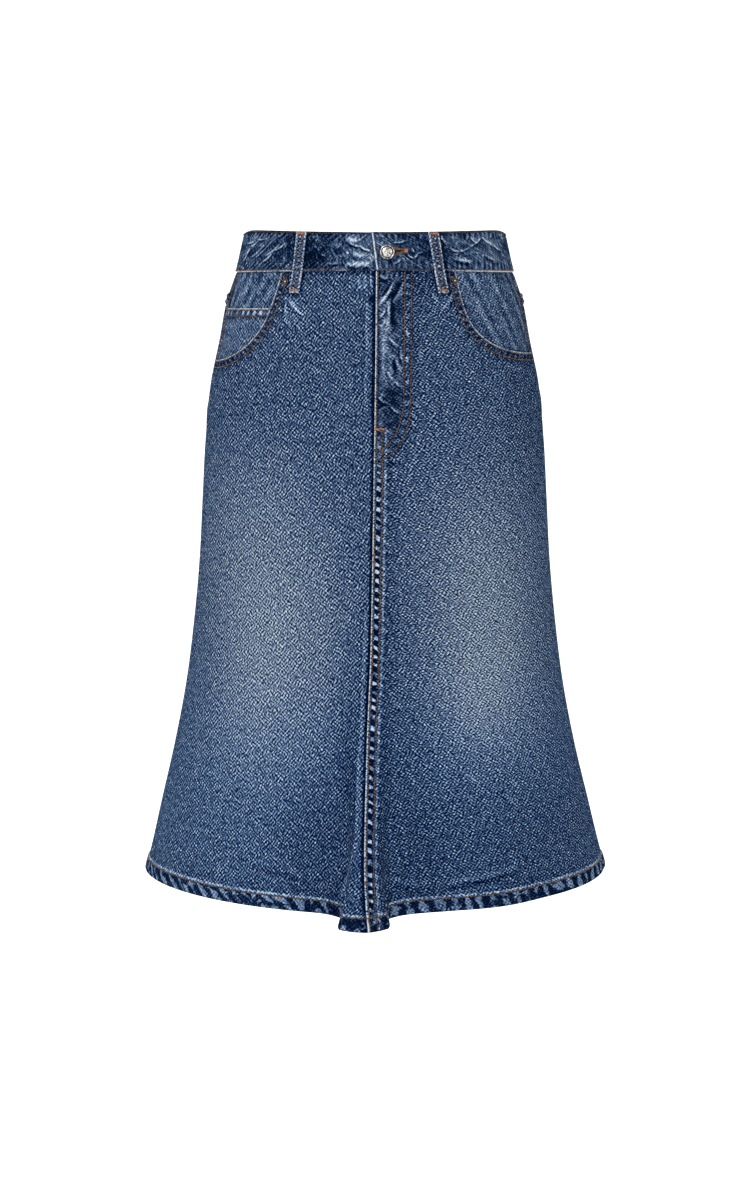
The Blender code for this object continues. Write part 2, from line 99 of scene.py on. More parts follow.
camera_data = bpy.data.cameras.new("camera")
camera_data.lens = LENS_MM
camera_data.sensor_width = SENSOR_MM
camera_data.clip_end = 40.0
camera = bpy.data.objects.new("camera", camera_data)
camera.location = CAMERA_AT
camera.rotation_euler = (0.5 * math.pi - CAMERA_DOWN, 0.0, 0.0)
show(camera)
bpy.context.scene.camera = camera

# ---------------------------------------------------------------- driving sizes, in metres

CLOTH = 0.0013  # one layer of denim
SEAM_GAP = 0.0003  # between pieces side by side
LAYER_GAP = 0.00035  # between pieces that lie on each other
UNDER_GAP = 0.0006  # between a panel and the cloth under it
FAR = 0.05  # a distance at which no edge is near

HEM_ZONE = 0.020  # height over which the rows are close enough for the hem's form

SIDE_SEAM = math.radians(82)
HAND = {"right": -1, "left": 1}  # sign of the angles on each side
LAP_WIDTH = 0.0095
LAP_SLOPE = 0.0036  # width of the step down from a lap
LAP_LIFT = CLOTH + LAYER_GAP

BAND_CLOTH = 0.0028
BAND_LIFT = 0.0009
BAND_END_TOP = -0.0043  # where the upper end lies beside centre front, at its top and foot
BAND_END_FOOT = 0.0007
BAND_SETTLE = math.radians(9)  # over which the band comes down off the centre lap
BAND_UNDERLAP = math.radians(12)
BAND_ROLL = 0.0042  # how far its top rolls over at both sides
BAND_ROLL_ANGLE = math.radians(13)
BAND_DIVE = math.radians(11)  # over which its other end goes in under the upper one
BAND_DIVE_END = math.radians(3)

LOOP_WIDTH = 0.011
LOOP_CLOTH = 0.0015
LOOP_FOOT = -0.0450
LOOP_TACK = 0.0045
# How far the top of a leaning loop lies sideways of its foot.
LOOP_LEANS = {"front_left": -0.0034, "front_right": -0.0014}
LOOP_ANGLES = {
    "front_right": -32.7,
    "front_left": 27.0,
    "back_right": -118.0,
    "back_left": 118.0,
    "back_centre": 180.0,
}

YOKE_OVERLAP = 0.0065  # how far the back panels run up under the yokes
BACK_UNDERLAP = 0.0065
YOKE_SIDE_DROP = 0.030
YOKE_BACK_DROP = 0.064

POCKET_FACING_DROP = 0.122
POCKET_UNDERCUT = math.radians(5)
COIN_POCKET_TOP = 0.0365
COIN_POCKET_FOOT = 0.110
POCKET_RADIUS = 0.15  # of the skirt at the pockets, for distances from the side seam

FLY_LENGTH = 0.178
FLY_WIDTH = 0.036
FLY_TAIL = 0.012
FLY_CURVE = 0.045
FLY_UNDER = 0.014

BUTTON_AT = (0.0111, -0.0039)
BUTTON_RADIUS = 0.0076
BUTTON_HEAD = 0.0032
SHANK_RADIUS = 0.0030
SHANK_HEIGHT = 0.0016
RIVET_RADIUS = 0.0036
RIVET_HEIGHT = 0.0013
RIVET_AT = {"right": (-0.0912, -0.0334), "left": (0.0806, -0.0325)}

SECTION_COLUMNS = ("height", "half_width", "front", "back")
SECTIONS = (
    (0.030, 0.1318, 0.0860, 0.0885),
    (0.018, 0.1348, 0.0875, 0.0905),
    (-0.024, 0.1449, 0.0925, 0.0985),
    (-0.053, 0.1548, 0.0985, 0.1085),
    (-0.095, 0.1632, 0.1060, 0.1190),
    (-0.137, 0.1722, 0.1120, 0.1260),
    (-0.200, 0.1788, 0.1170, 0.1300),
    (-0.264, 0.1826, 0.1200, 0.1305),
    (-0.328, 0.1864, 0.1230, 0.1310),
    (-0.393, 0.1929, 0.1280, 0.1330),
    (-0.458, 0.2017, 0.1345, 0.1375),
    (-0.524, 0.2147, 0.1430, 0.1445),
    (-0.590, 0.2301, 0.1530, 0.1530),
    (-0.634, 0.2402, 0.1600, 0.1590),
    (-0.680, 0.2518, 0.1675, 0.1650),
)

FLUTE_COLUMNS = (
    "height", "reach", "swell", "face_right", "face_left", "turn", "tuck", "line",
)
FLUTE = (
    (0.030, 0.000, 0.000, 0.0120, 0.0130, 0.022, 0.000, 0.0013),
    (-0.020, 0.000, 0.000, 0.0120, 0.0130, 0.022, 0.000, 0.0013),
    (-0.240, 0.000, 0.000, 0.0110, 0.0130, 0.022, 0.000, -0.0012),
    (-0.330, 0.0004, 0.000, 0.0090, 0.0130, 0.022, 0.000, -0.0027),
    (-0.415, 0.002, 0.002, 0.0075, 0.0130, 0.020, 0.000, -0.0046),
    (-0.485, 0.005, 0.006, 0.0070, 0.0130, 0.018, 0.000, -0.0077),
    (-0.545, 0.0095, 0.010, 0.0072, 0.0132, 0.016, 0.001, -0.0095),
    (-0.595, 0.0145, 0.014, 0.0088, 0.0140, 0.0145, 0.004, -0.0106),
    (-0.625, 0.0180, 0.016, 0.0130, 0.0153, 0.0140, 0.007, -0.0106),
    (-0.652, 0.0215, 0.0182, 0.0215, 0.0178, 0.0140, 0.012, -0.0092),
    (-0.682, 0.0260, 0.020, 0.0305, 0.0204, 0.0140, 0.016, -0.0066),
)
FLUTE_LEAN = 0.30
SWELL_WIDTH = 0.034
RECOVER = 0.045
LINE_WIDTH = 0.090

FOLD_COLUMNS = ("angle", "half_angle", "reach", "start")
FOLDS = (
    (180.0, 21.0, 0.020, -0.30),
    (131.0, 18.0, 0.012, -0.38),
    (-127.0, 19.0, 0.014, -0.35),
    (31.0, 17.0, 0.006, -0.40),
    (96.0, 15.0, 0.004, -0.50),
)
FOLD_OPENING = 0.75

POCKETS = {
    "right": {"angle": 41.5, "drop": 0.0905, "squareness": 2.6},
    "left": {"angle": 34.6, "drop": 0.0825, "squareness": 3.3},
}

BAND_TOP = {"front": 0.0166, "side": 0.0195, "back": 0.0172}
WAIST_SEAM = {"front": -0.0220, "side": -0.0242, "back": -0.0215}
HEM_EDGE = {"front": -0.6705, "side": -0.6625, "back": -0.6665}
HEM_DIP = 0.0070
HEM_DIP_AT = math.radians(-1)
HEM_DIP_ANGLE = math.radians(9.5)

# Rows of stitches: distances from the edges that they follow.
EDGE_ROW = 0.0019
SECOND_ROW = 0.0080
LAP_ROWS = (0.0020, 0.0088)
LADDER = (0.0030, 0.0072)  # the puckers between the two rows of a lapped seam
LADDER_PITCH = 0.0092
HEM_ROW = 0.0132
HEM_RIDGE = 0.0152  # the worn ridge above the hem's row
HEM_TOP = 0.0168  # upper edge of the turned-up hem
BAND_TOP_ROW = 0.0016
BAND_FOOT_ROW = 0.0014
BAND_END_ROW = 0.0026
LOOP_ROW = 0.0028
SIDE_ROW = 0.0022
BAR_TACK = -0.1814  # height at which the fly ends and the lapped seam begins
GROOVE, GROOVE_WIDTH = 0.00028, 0.0008  # the channel that a row of stitches makes
STITCH_PITCH = 0.0033
STITCH_GAP = 0.0004  # at each end of a stitch
THREAD = 0.00070  # radius
THREAD_BOW = 0.00022  # how far a stitch's middle stands out
THREAD_SIDES = 5

# The creases' line bows sideways by this, and these depths leave a crest quite worn.
CREASE_BOW = 0.0012
CREST, SOFT_CREST, BAND_CREST = 0.0009, 0.0045, 0.00044

# The fly's curved rows: distance from the centre seam, and the heights where each starts to curve
# and meets the seam.
FLY_ROW_COLUMNS = ("width", "curve_from", "foot")
FLY_ROWS = ((0.0290, -0.150, -0.2030), (0.0360, -0.157, -0.2122))

# Pale washes of the cloth, with darker ones below 0, one of them painted shade: middle, half width
# and half height of each, and how pale it makes it.
WASH_COLUMNS = ("angle", "height", "half_width", "half_height", "amount")
WASHES = (
    (-35.0, -0.395, 0.070, 0.155, 0.78),
    (36.5, -0.380, 0.072, 0.150, 0.76),
    (-60.0, -0.270, 0.035, 0.090, 0.16),
    (31.0, -0.465, 0.038, 0.055, 0.22),
    (-37.0, -0.240, 0.040, 0.045, 0.14),
    (-14.0, -0.430, 0.020, 0.110, 0.13),
    (36.0, -0.620, 0.130, 0.110, -0.20),
    (8.0, -0.520, 0.030, 0.160, -0.12),
    # painted shade on the flute's wall, where it turns away from the light
    (-8.0, -0.560, 0.022, 0.120, -0.10),
    (-14.0, -0.620, 0.034, 0.080, -0.26),
    (13.0, -0.640, 0.030, 0.070, -0.18),
    (-74.0, -0.155, 0.050, 0.090, -0.08),
    (74.0, -0.155, 0.050, 0.090, -0.16),
    (146.0, -0.250, 0.080, 0.130, 0.50),
    (-146.0, -0.250, 0.080, 0.130, 0.50),
    (180.0, -0.560, 0.080, 0.100, 0.12),
)
WASH_BASE = 0.25
# How pale the waistband is: angle, amount.
BAND_WASH = (
    (-180, 0.10), (-95, 0.15), (-60, 0.32), (-50, 0.18), (-42, -0.03), (-33, -0.30), (-26, -0.32),
    (-18, -0.05), (-13, 0.36), (-6, 0.56), (0, 0.54), (6, 0.36), (12, 0.08), (20, -0.05),
    (27, -0.08), (34, 0.24), (43, 0.44), (64, 0.60), (95, 0.20), (180, 0.10),
)

# Creases on the front, in mm: x and height of both ends, half width, and how far out (or in,
# below 0).
CREASE_COLUMNS = ("from_at", "from_height", "to_at", "to_height", "half_width", "depth")
FRONT_CREASES = (
    # the fly, above its curved rows
    (4.2, -58.3, 21.1, -31.6, 1.2, 1.1),
    (4.7, -50.4, 16.5, -35, 1.2, -0.9),
    (16.5, -51.4, 27.6, -30.4, 1.8, -1.1),
    (4.7, -69.4, 11.4, -60.4, 1.1, 1),
    (5.4, -26.6, 14.4, -30.4, 1.4, 0.9),
    (15.5, -55.4, 15.8, -69.4, 1.2, 0.8),
    (18.3, -51.4, 19.9, -83, 2.2, -0.9),
    (10.4, -96.5, 9.4, -126.5, 1.8, 0.5),
    (14.4, -88.5, 26.1, -98.5, 1.1, 1),
    (26.6, -98.5, 29.6, -116.2, 1.1, 0.8),
    (22.2, -110.5, 27.1, -122.5, 1.5, 0.8),
    (20, -109.5, 22.2, -127.5, 1.6, -0.6),
    (13.2, -122.8, 21.1, -132.8, 1.2, 1),
    (21.1, -132.8, 28.9, -138.4, 1.1, 0.9),
    (3.6, -147.8, 15.5, -156.2, 1.1, 1.1),
    (15.5, -156.2, 26.1, -165.1, 1.1, 1),
    (14.4, -157.3, 3.1, -163.9, 1.1, 0.9),
    (32.6, -79.5, 34.6, -89.5, 1.3, 0.9),
    (33.6, -106.5, 33.6, -115.5, 1.3, 0.8),
    (32.1, -135.5, 34.6, -130, 1.3, 0.8),
    # beside the fly
    (37.7, -152.5, 47.8, -158.5, 1.1, 0.8),
    (37.4, -163.9, 44.7, -171.5, 1.1, 0.7),
    (36.7, -172.6, 42.7, -177.6, 1.1, 0.7),
    (15.7, -207.9, 23.5, -214.9, 1.1, 0.9),
    (8.6, -220.3, 21.2, -214, 1.4, -0.6),
    (12.4, -223.4, 22.7, -220.3, 1.1, 0.6),
    (10, -228, 17, -230.6, 1.1, 0.8),
    (16, -230.5, 22, -228.5, 1.1, 0.6),
    (45.8, -100.5, 47.8, -111.5, 1.3, 0.6),
    (68, -61.4, 80.1, -46.1, 1.4, 0.9),
    (56.9, -42.4, 64.4, -51.9, 1.2, 0.7),
    (49.8, -37.4, 55.9, -45.4, 1.2, 0.5),
    (-3.2, -26.4, -2.5, -43.4, 1.1, 0.8),
    (-9.8, -27.4, -8.8, -42.4, 1.3, 0.6),
    (-16.9, -29.4, -13.8, -39.4, 1.3, 0.5),
    (-7.4, -47.4, -7.8, -103.5, 1.4, 0.4),
    (-8, -101.5, -9, -171.5, 1.5, 0.35),
    # at the pocket corners
    (-88, -50, -78, -64, 1.8, 0.8),
    (-90, -53, -90, -70, 1.4, 0.7),
    (-86, -51.5, -70, -70, 1.2, 0.8),
    (-92.5, -69, -83, -81, 1.2, 0.6),
    (-82, -70, -74, -86, 1.2, 0.5),
    # along the flute: pale crests partly worn and partly painted light on the fold's edge, with
    # painted shade beside; and at the hem
    (-9.2, -360, -13.8, -496, 1.8, 0.3),
    (-13.8, -480, -18.2, -594, 1.8, 0.4),
    (-18, -590, -24.9, -616, 2, 0.4),
    (-24.5, -614, -37.1, -654, 2.2, 0.4),
    (75, -642, 150, -630, 2.2, 0.5),
    (70, -647, 150, -635, 2, -0.5),
    (12, -632, 60, -643, 2.4, 0.3),
    (-70, -638, -130, -628, 2.6, -0.3),
    (90, -530, 112, -545, 2.4, 0.25),
    (135, -555, 148, -570, 2.4, 0.25),
    (16, -408, 30, -418, 1.6, 0.3),
    (15, -426, 28, -434, 1.6, 0.25),
    (15, -453, 32, -465, 1.6, 0.3),
)
# Creases of the waistband, in mm.
WAISTBAND_CREASES = (
    (-135.6, -13.9, -127.3, 1.9, 0.8, 0.6),
    (-127.3, 1.9, -118.3, 8.8, 0.7, 0.6),
    (-127.3, -10, -110.3, 5.8, 0.7, 0.6),
    (-121.3, -9, -103.3, 8.8, 0.7, 0.5),
    (-114.3, -13.9, -103.3, -3, 0.8, 0.7),
    (-103.3, -3, -89.4, 6.8, 0.7, 0.6),
    (-111.3, -8, -94.4, 6.8, 0.7, 0.5),
    (-131.3, 4.9, -120.5, 9.2, 0.8, 0.6),
    (-120.5, 9.2, -108.4, 10.8, 0.7, 0.5),
    (-133, -6, -123, 4, 0.7, 0.5),
    (-92.6, 0.6, -88.6, 5.6, 0.8, 0.5),
    (-25.6, 5.8, -14.8, 2.5, 0.9, 0.7),
    (-15, 2.6, -3.7, -2.1, 0.9, 0.8),
    (-30, -15.2, -3.7, -14.2, 2.6, 0.5),
    (-29, 10.6, -16, 8.2, 2.6, 0.4),
    (-22.9, -4.4, -10, -6.2, 2, 0.4),
    (-49.2, -14.4, -33, -13.4, 1.2, 0.4),
    (-54.2, -5.4, -50.2, -7.4, 0.9, 0.6),
    (33.6, -5.9, 39.7, -9.9, 0.9, 0.7),
    (39.7, -9.9, 44, -4.4, 0.8, 0.8),
    (44, -4.4, 48.9, -3.4, 0.8, 0.6),
    (40, -4, 37, 1, 0.7, 0.5),
    (18, 6, 33, 8.5, 0.9, 0.5),
    (20, -15, 27, -10, 0.8, 0.6),
    (54.8, 10.6, 59.9, -0.4, 0.9, 0.5),
    (67, 13.6, 72, 5.6, 0.9, 0.5),
    (76.1, 0.9, 84.9, -3, 0.9, 0.6),
    (84.9, -3, 97, 1.9, 0.8, 0.5),
    (97, 1.9, 108.9, 11.8, 0.9, 0.6),
    (97, 11.8, 105.9, 4.9, 0.9, 0.5),
    (108.9, 11.8, 120.9, 3.9, 0.9, 0.6),
    (120.9, 3.9, 130, -2.1, 0.9, 0.5),
    (83, -10.4, 101, -12.4, 1.6, 0.4),
    (112, -6, 123, -11, 1.2, 0.4),
)
# Small pale (or, below 0, dark) patches: middle, half width and half height in mm, and amount.
PATCHES = (
    (9, -88, 6.2, 28, 0.55),
    (9.4, -129.5, 4, 9, 0.4),
    (5.6, -208, 3, 24, 0.62),
    (21.5, -147.5, 9.1, 8, -0.5),
    (9.4, -157, 6.1, 4.5, -0.5),
    (20.5, -171.5, 7.1, 11, -0.5),
    (13, -156, 11, 19, -0.3),
    (6.9, -175.1, 3.5, 3, 0.4),
    # painted shadow under the waistband, between the fly and the loop
    (50.8, -36.4, 14.1, 10, -0.35),
    (22.5, -63.4, 4, 16, -0.12),
    (-12, -33.4, 11, 9, 0.38),
    (-84, -62, 10, 12, 0.24),
    # deepens the painted shadow of the lap beside centre front
    (-3.4, -50.4, 3, 5, -1.1),
    # painted shade on the flute's wall, where it turns away from the light
    (-26, -555, 8, 90, -0.34),
)
# Creases elsewhere: the same as the front's, with angles in degrees in place of x.
HIDDEN_CREASES = (
    (172, -135, 150, -118, 4, 1),
    (-171, -142, -148, -121, 4.2, 1.1),
    (168, -170, 145, -160, 3.6, 0.8),
    (-166, -185, -140, -164, 4, 0.9),
    (105, -220, 96, -310, 5, 0.8),
    (-103, -200, -95, -300, 5, -0.8),
    (88, -150, 97, -190, 3.5, 0.8),
    (-87, -160, -96, -205, 3.5, 0.8),
    (150, -430, 146, -540, 5, 0.8),
    (-150, -400, -145, -520, 5, 0.9),
    (176, -420, 174, -550, 3, -0.8),
    (120, -638, 138, -642, 2.4, 0.9),
    (-112, -637, -136, -641, 2.4, 0.9),
)

# ---------------------------------------------------------------- the skirt's surface


def smooth(share):
    """Smoothstep: 0 below 0, 1 above 1, level at both ends."""
    t = np.clip(share, 0.0, 1.0)
    return t * t * (3.0 - 2.0 * t)


def bell(distance, width):
    """Bell curve: 1 at no distance, about a third at one width."""
    return np.exp(-((distance / width) ** 2))


def between(value, low, high, soft):
    """1 between two values and 0 outside, with soft steps."""
    return smooth((value - low) / soft + 0.5) * smooth((high - value) / soft + 0.5)


def wrapped(angle):
    """The same angle, between half a turn below 0 and half a turn above."""
    return (angle + math.pi) % (2 * math.pi) - math.pi


def from_table(columns, rows, name, height):
    """One column of a table at any height: a cubic through its rows, which run downwards."""
    knots = np.array([row[0] for row in rows])[::-1]
    values = np.array([row[columns.index(name)] for row in rows])[::-1]
    slopes = np.gradient(values, knots)
    at = np.clip(height, knots[0], knots[-1])
    i = np.clip(np.searchsorted(knots, at) - 1, 0, len(knots) - 2)
    span = knots[i + 1] - knots[i]
    t = (at - knots[i]) / span
    return (
        values[i] * (1 + 2 * t) * (1 - t) ** 2
        + slopes[i] * span * t * (1 - t) ** 2
        + values[i + 1] * t * t * (3 - 2 * t)
        + slopes[i + 1] * span * t * t * (t - 1)
    )


def section(name, height):
    return from_table(SECTION_COLUMNS, SECTIONS, name, height)


def flute(name, height):
    return from_table(FLUTE_COLUMNS, FLUTE, name, height)


def edge_height(edge, angle):
    """Height of an edge at any angle, blended from its three by the squares of sine and cosine."""
    ahead = np.where(np.cos(angle) > 0, edge["front"], edge["back"])
    return edge["side"] * np.sin(angle) ** 2 + ahead * np.cos(angle) ** 2


def hem_height(angle):
    away = (angle - HEM_DIP_AT) / HEM_DIP_ANGLE
    return edge_height(HEM_EDGE, angle) - HEM_DIP * np.exp(-(away**4))


def surface(angle, height):
    """The skirt's outer surface: an ellipse at each height, then the flute, then the soft folds."""
    angle, height = np.broadcast_arrays(angle, height)
    half_width = section("half_width", height)
    in_front = np.cos(angle) > 0
    depth = np.where(in_front, section("front", height), section("back", height))
    across = half_width * np.sin(angle)
    y = -depth * np.cos(angle)
    distance = np.abs(across)
    wearers_left = across > 0
    face = np.where(wearers_left, flute("face_left", height), flute("face_right", height))
    turn = flute("turn", height)
    turned = smooth((distance - face) / turn)
    lean = np.where(wearers_left, 1.0 - FLUTE_LEAN * distance / face, 1.0)
    swell = flute("swell", height) * np.exp(-0.5 * (distance / SWELL_WIDTH) ** 2)
    forward = flute("reach", height) * lean * (1.0 - turned) + swell
    recovered = smooth((distance - face - turn) / RECOVER)
    tucked = flute("tuck", height) * turned * (1.0 - recovered)
    shift = flute("line", height) * np.exp(-((across / LINE_WIDTH) ** 2))
    x = across + np.where(in_front, shift - np.sign(across) * tucked, 0.0)
    y = y - np.where(in_front, forward, 0.0)
    for row in FOLDS:
        fold = dict(zip(FOLD_COLUMNS, row))
        away = (np.degrees(angle) - fold["angle"] + 180.0) % 360.0 - 180.0
        ridge = np.cos(0.5 * math.pi * np.clip(away / fold["half_angle"], -1.0, 1.0)) ** 2
        down = (fold["start"] - height) / (fold["start"] - HEM_EDGE["front"])
        out = fold["reach"] * ridge * smooth(FOLD_OPENING * down)
        x = x + out * np.sin(angle)
        y = y - out * np.cos(angle)
    return np.stack([x, y, height], axis=-1)


def outward(angle, height):
    """Unit normal of the surface, from the cross product of its two slopes."""
    turn, rise = 1e-4, 1e-4
    around = surface(angle + turn, height) - surface(angle - turn, height)
    upward = surface(angle, height + rise) - surface(angle, height - rise)
    normal = np.cross(around, upward)
    return normal / np.linalg.norm(normal, axis=-1, keepdims=True)


def lifted(angle, height, lift):
    """Points that lie a given distance out from the surface."""
    angle, height, lift = np.broadcast_arrays(angle, height, lift)
    return surface(angle, height) + outward(angle, height) * lift[..., None]


def angle_at(across, height):
    """The angle at which the ring is a given distance to one side of centre front."""
    return np.arcsin(across / section("half_width", height))


def angle_for_width(width, angle, height):
    """The angle that spans a width along the surface."""
    turn = 1e-4
    run = surface(angle + turn, height) - surface(angle - turn, height)
    return width * 2 * turn / np.linalg.norm(run, axis=-1)


GIRTH_STEP = math.pi / 360
GIRTH_ANGLES = np.arange(1171) * GIRTH_STEP - math.pi
GIRTH_RISE = 0.005
GIRTH_HEIGHTS = np.arange(147) * GIRTH_RISE - 0.70


def measure_rings():
    """Distance round from centre front on a table of rings: the sum of the steps between points."""
    rings = surface(GIRTH_ANGLES[None, :], GIRTH_HEIGHTS[:, None])
    steps = np.linalg.norm(np.diff(rings, axis=1), axis=2)
    run = np.concatenate([np.zeros((len(rings), 1)), np.cumsum(steps, axis=1)], axis=1)
    return run - run[:, 360:361]


RINGS = measure_rings()


def girth(angle, height):
    """Distance round the skirt from centre front, read from the table between its points."""
    across = np.clip((angle + math.pi) / GIRTH_STEP, 0, len(GIRTH_ANGLES) - 1.001)
    up = np.clip((height - GIRTH_HEIGHTS[0]) / GIRTH_RISE, 0, len(GIRTH_HEIGHTS) - 1.001)
    i, j = across.astype(int), up.astype(int)
    s, t = across - i, up - j
    low = RINGS[j, i] * (1 - s) + RINGS[j, i + 1] * s
    high = RINGS[j + 1, i] * (1 - s) + RINGS[j + 1, i + 1] * s
    return low * (1 - t) + high * t


def from_line(points, line):
    """How far points are from a line of points, and how far along it: the nearest segment's."""
    start, step = line[:-1], np.diff(line, axis=0)
    length = np.linalg.norm(step, axis=1)
    offset = points[..., None, :] - start
    share = np.clip((offset * step).sum(-1) / length**2, 0.0, 1.0)
    gap = np.linalg.norm(offset - share[..., None] * step, axis=-1)
    along = np.concatenate([[0.0], np.cumsum(length)[:-1]]) + share * length
    nearest = gap.argmin(-1)[..., None]
    return (
        np.take_along_axis(gap, nearest, -1)[..., 0],
        np.take_along_axis(along, nearest, -1)[..., 0],
    )


def beside(line, distance):
    """The line of points moved to its left by a distance."""
    tangent = np.gradient(line, axis=0)
    tangent /= np.linalg.norm(tangent, axis=1, keepdims=True)
    return line + distance * np.stack([-tangent[:, 1], tangent[:, 0]], axis=1)


# ---------------------------------------------------------------- marks and relief of the cloth

MARKS = ("fade", "aged", "edge", "worn", "beat", "puckered", "roped", "marble", "crease")


def plain(angle, height):
    """Cloth with no marks: no lift, one layer thick, and its wash.  Hands back the angles and
    heights in their full shape too."""
    angle, height = np.broadcast_arrays(angle, height)
    look = {name: np.zeros(angle.shape) for name in ("lift", "thick", *MARKS)}
    look["thick"] += CLOTH
    look["edge"] += FAR
    look["fade"] += WASH_BASE + washed(angle, height)
    upper = 0.5 * smooth((height + 0.58) / 0.22)
    look["aged"] = np.clip(upper + 0.9 * (look["fade"] - 0.35), 0.0, 1.0)
    return angle, height, look


def washed(angle, height):
    """How pale the washes make the cloth: the sum of flat-topped bells."""
    total = np.zeros(np.shape(angle))
    round_it = girth(wrapped(angle), height)
    whole = 2 * girth(math.pi, height)
    for row in WASHES:
        wash = dict(zip(WASH_COLUMNS, row))
        middle = girth(math.radians(wash["angle"]), height)
        away = np.abs(round_it - middle)
        away = np.maximum(np.minimum(away, whole - away), 0.0)
        down = np.abs(height - wash["height"])
        total += wash["amount"] * np.exp(
            -((away / wash["half_width"]) ** 2.2) - (down / wash["half_height"]) ** 2.6
        )
    return total


def at_least(look, mark, value):
    """Raises a mark to a value where it is lower."""
    look[mark] = np.maximum(look[mark], value)


def wear(look, distance, strength):
    """Marks a worn line: the nearest line's distance and strength count."""
    nearer = distance < look["edge"]
    look["worn"] = np.where(nearer, strength, look["worn"])
    look["edge"] = np.where(nearer, distance, look["edge"])


def pucker(look, beat, window, depth):
    """Puckers inside a window: sine ridges of a given depth, one for each whole beat."""
    stronger = window > look["puckered"]
    look["beat"] = np.where(stronger, beat, look["beat"])
    look["puckered"] = np.where(stronger, window, look["puckered"])
    look["lift"] += depth * window * np.sin(2 * math.pi * beat)


def stitch_groove(look, distance, share=1.0):
    """The channel that a row of stitches pulls into the cloth, with painted shade along it."""
    look["lift"] -= GROOVE * bell(distance, GROOVE_WIDTH) * share
    look["fade"] -= 0.60 * bell(distance, 0.0011) * share


def uneven(run, pitch):
    """Beats along a run with a given mean pitch, closer and wider by turns."""
    beats = run / pitch
    return beats + 0.20 * np.sin(run / (1.9 * pitch)) + 0.12 * np.sin(run / (0.8 * pitch) + 1.0)


def roll_edge(look, distance, radius=0.0010, drop=0.5 * CLOTH):
    """A folded edge: the face rounds over in a quarter circle."""
    short = np.clip(1.0 - distance / radius, 0.0, 1.0)
    fall = drop * (1.0 - np.sqrt(1.0 - short**2))
    look["lift"] -= fall
    look["thick"] -= 1.6 * fall


def sew_edge(look, distance, run, pitch, lean, strength, depth):
    """A folded edge sewn down by two rows of stitches, with puckers between them, whose share is
    handed back."""
    roll_edge(look, distance)
    for row in (EDGE_ROW, SECOND_ROW):
        stitch_groove(look, distance - row)
    rows_apart = between(distance, EDGE_ROW + 0.0004, SECOND_ROW - 0.0004, 0.0012)
    pucker(look, uneven(run, pitch) + distance / lean, strength * rows_apart, depth)
    return rows_apart


def add_side_seam(look, from_side):
    """A side seam: pressed in, dark beside it and a little worn along it."""
    look["lift"] -= 0.0010 * bell(from_side, 0.0018)
    look["fade"] -= 0.10 * bell(from_side, 0.012)
    wear(look, np.abs(from_side - 0.0016) + 0.0005, 0.22)


def add_waist_seam(look, below_waist, run):
    """The seam under the waistband: pressed in, with puckers below it."""
    look["lift"] -= 0.0006 * bell(below_waist, 0.0022)
    window = 0.45 * between(below_waist, 0.0008, 0.0080, 0.0040)
    pucker(look, uneven(run, 0.0052), window, 0.00018)


def lap_share(distance):
    """1 on the upper cloth of a lapped seam, and 0 past its width."""
    return 1.0 - smooth((distance - LAP_WIDTH + 0.0006) / LAP_SLOPE)


def add_hem(look, angle, height):
    """The turned-up hem: a ridge, the stitches' channel, a roped band and a rounded fold."""
    above = height - hem_height(angle)
    run = girth(angle, height)
    beat = uneven(run, 0.0142) + above / 0.026
    turned_up = smooth((HEM_TOP - above) / 0.0026)
    look["lift"] += 0.0010 * turned_up
    look["thick"] += 0.0013 * turned_up
    look["lift"] -= 0.0007 * bell(above - HEM_ROW, 0.0011)
    window = between(above, 0.0008, HEM_ROW - 0.0010, 0.0016)
    at_least(look, "roped", smooth((HEM_ROW + 0.0004 - above) / 0.0014))
    look["aged"] += 0.50 * look["roped"]
    look["lift"] += 0.00055 * window * np.sin(2 * math.pi * beat)
    look["beat"] = np.where(look["roped"] > 0, beat, look["beat"])
    look["puckered"] *= 1.0 - look["roped"]
    roll_edge(look, above, 0.0022, 0.0012)
    ridge = 1.00 + 0.28 * np.sin(run / 0.017) * np.sin(run / 0.0063 + 1.0)
    wear(look, np.abs(above - HEM_RIDGE) + 0.0003, ridge)
    look["fade"] -= 0.10 * smooth((0.0160 - above) / 0.002)
    look["fade"] -= 0.08 * bell(above - 0.020, 0.006)
    at_least(look, "marble", 0.25 * bell(above - 0.018, 0.014))


def angle_at_x(x, height):
    """The angle nearest centre front at which the surface is a given distance to one side."""
    turned = np.linspace(0.0, 1.4, 2801) * (1.0 if x > flute("line", height) else -1.0)
    close = np.abs(surface(turned, height)[:, 0] - x) < 0.0004
    return turned[close.argmax()]


def place_creases(rows, in_degrees=False):
    """Both ends of each crease as girth and height, with its half width and depth, in metres."""
    placed = []
    for row in rows:
        crease = dict(zip(CREASE_COLUMNS, row))
        ends = []
        for end in ("from", "to"):
            at, level = crease[end + "_at"], crease[end + "_height"] / 1000
            angle = math.radians(at) if in_degrees else angle_at_x(at / 1000, level)
            ends.append([float(girth(angle, level)), level])
        placed.append((ends, crease["half_width"] / 1000, crease["depth"] / 1000))
    return placed


PANEL_CREASES = place_creases(FRONT_CREASES)
SOFT_CREASES = place_creases(HIDDEN_CREASES, in_degrees=True)
BAND_CREASES = place_creases(WAISTBAND_CREASES)


def add_patches(look, angle, height):
    """Small pale and dark patches of the front, some of the dark ones painted shade and shadow:
    each the product of a bell across and a bell down.
    """
    run = girth(angle, height)
    for row in PATCHES:
        at, level, half_width, half_height = (size / 1000 for size in row[:4])
        middle = girth(angle_at_x(at, level), level)
        across, down = (run - middle) / half_width, (height - level) / half_height
        look["fade"] += row[4] * np.exp(-(across**2) - np.abs(down) ** 2.5)


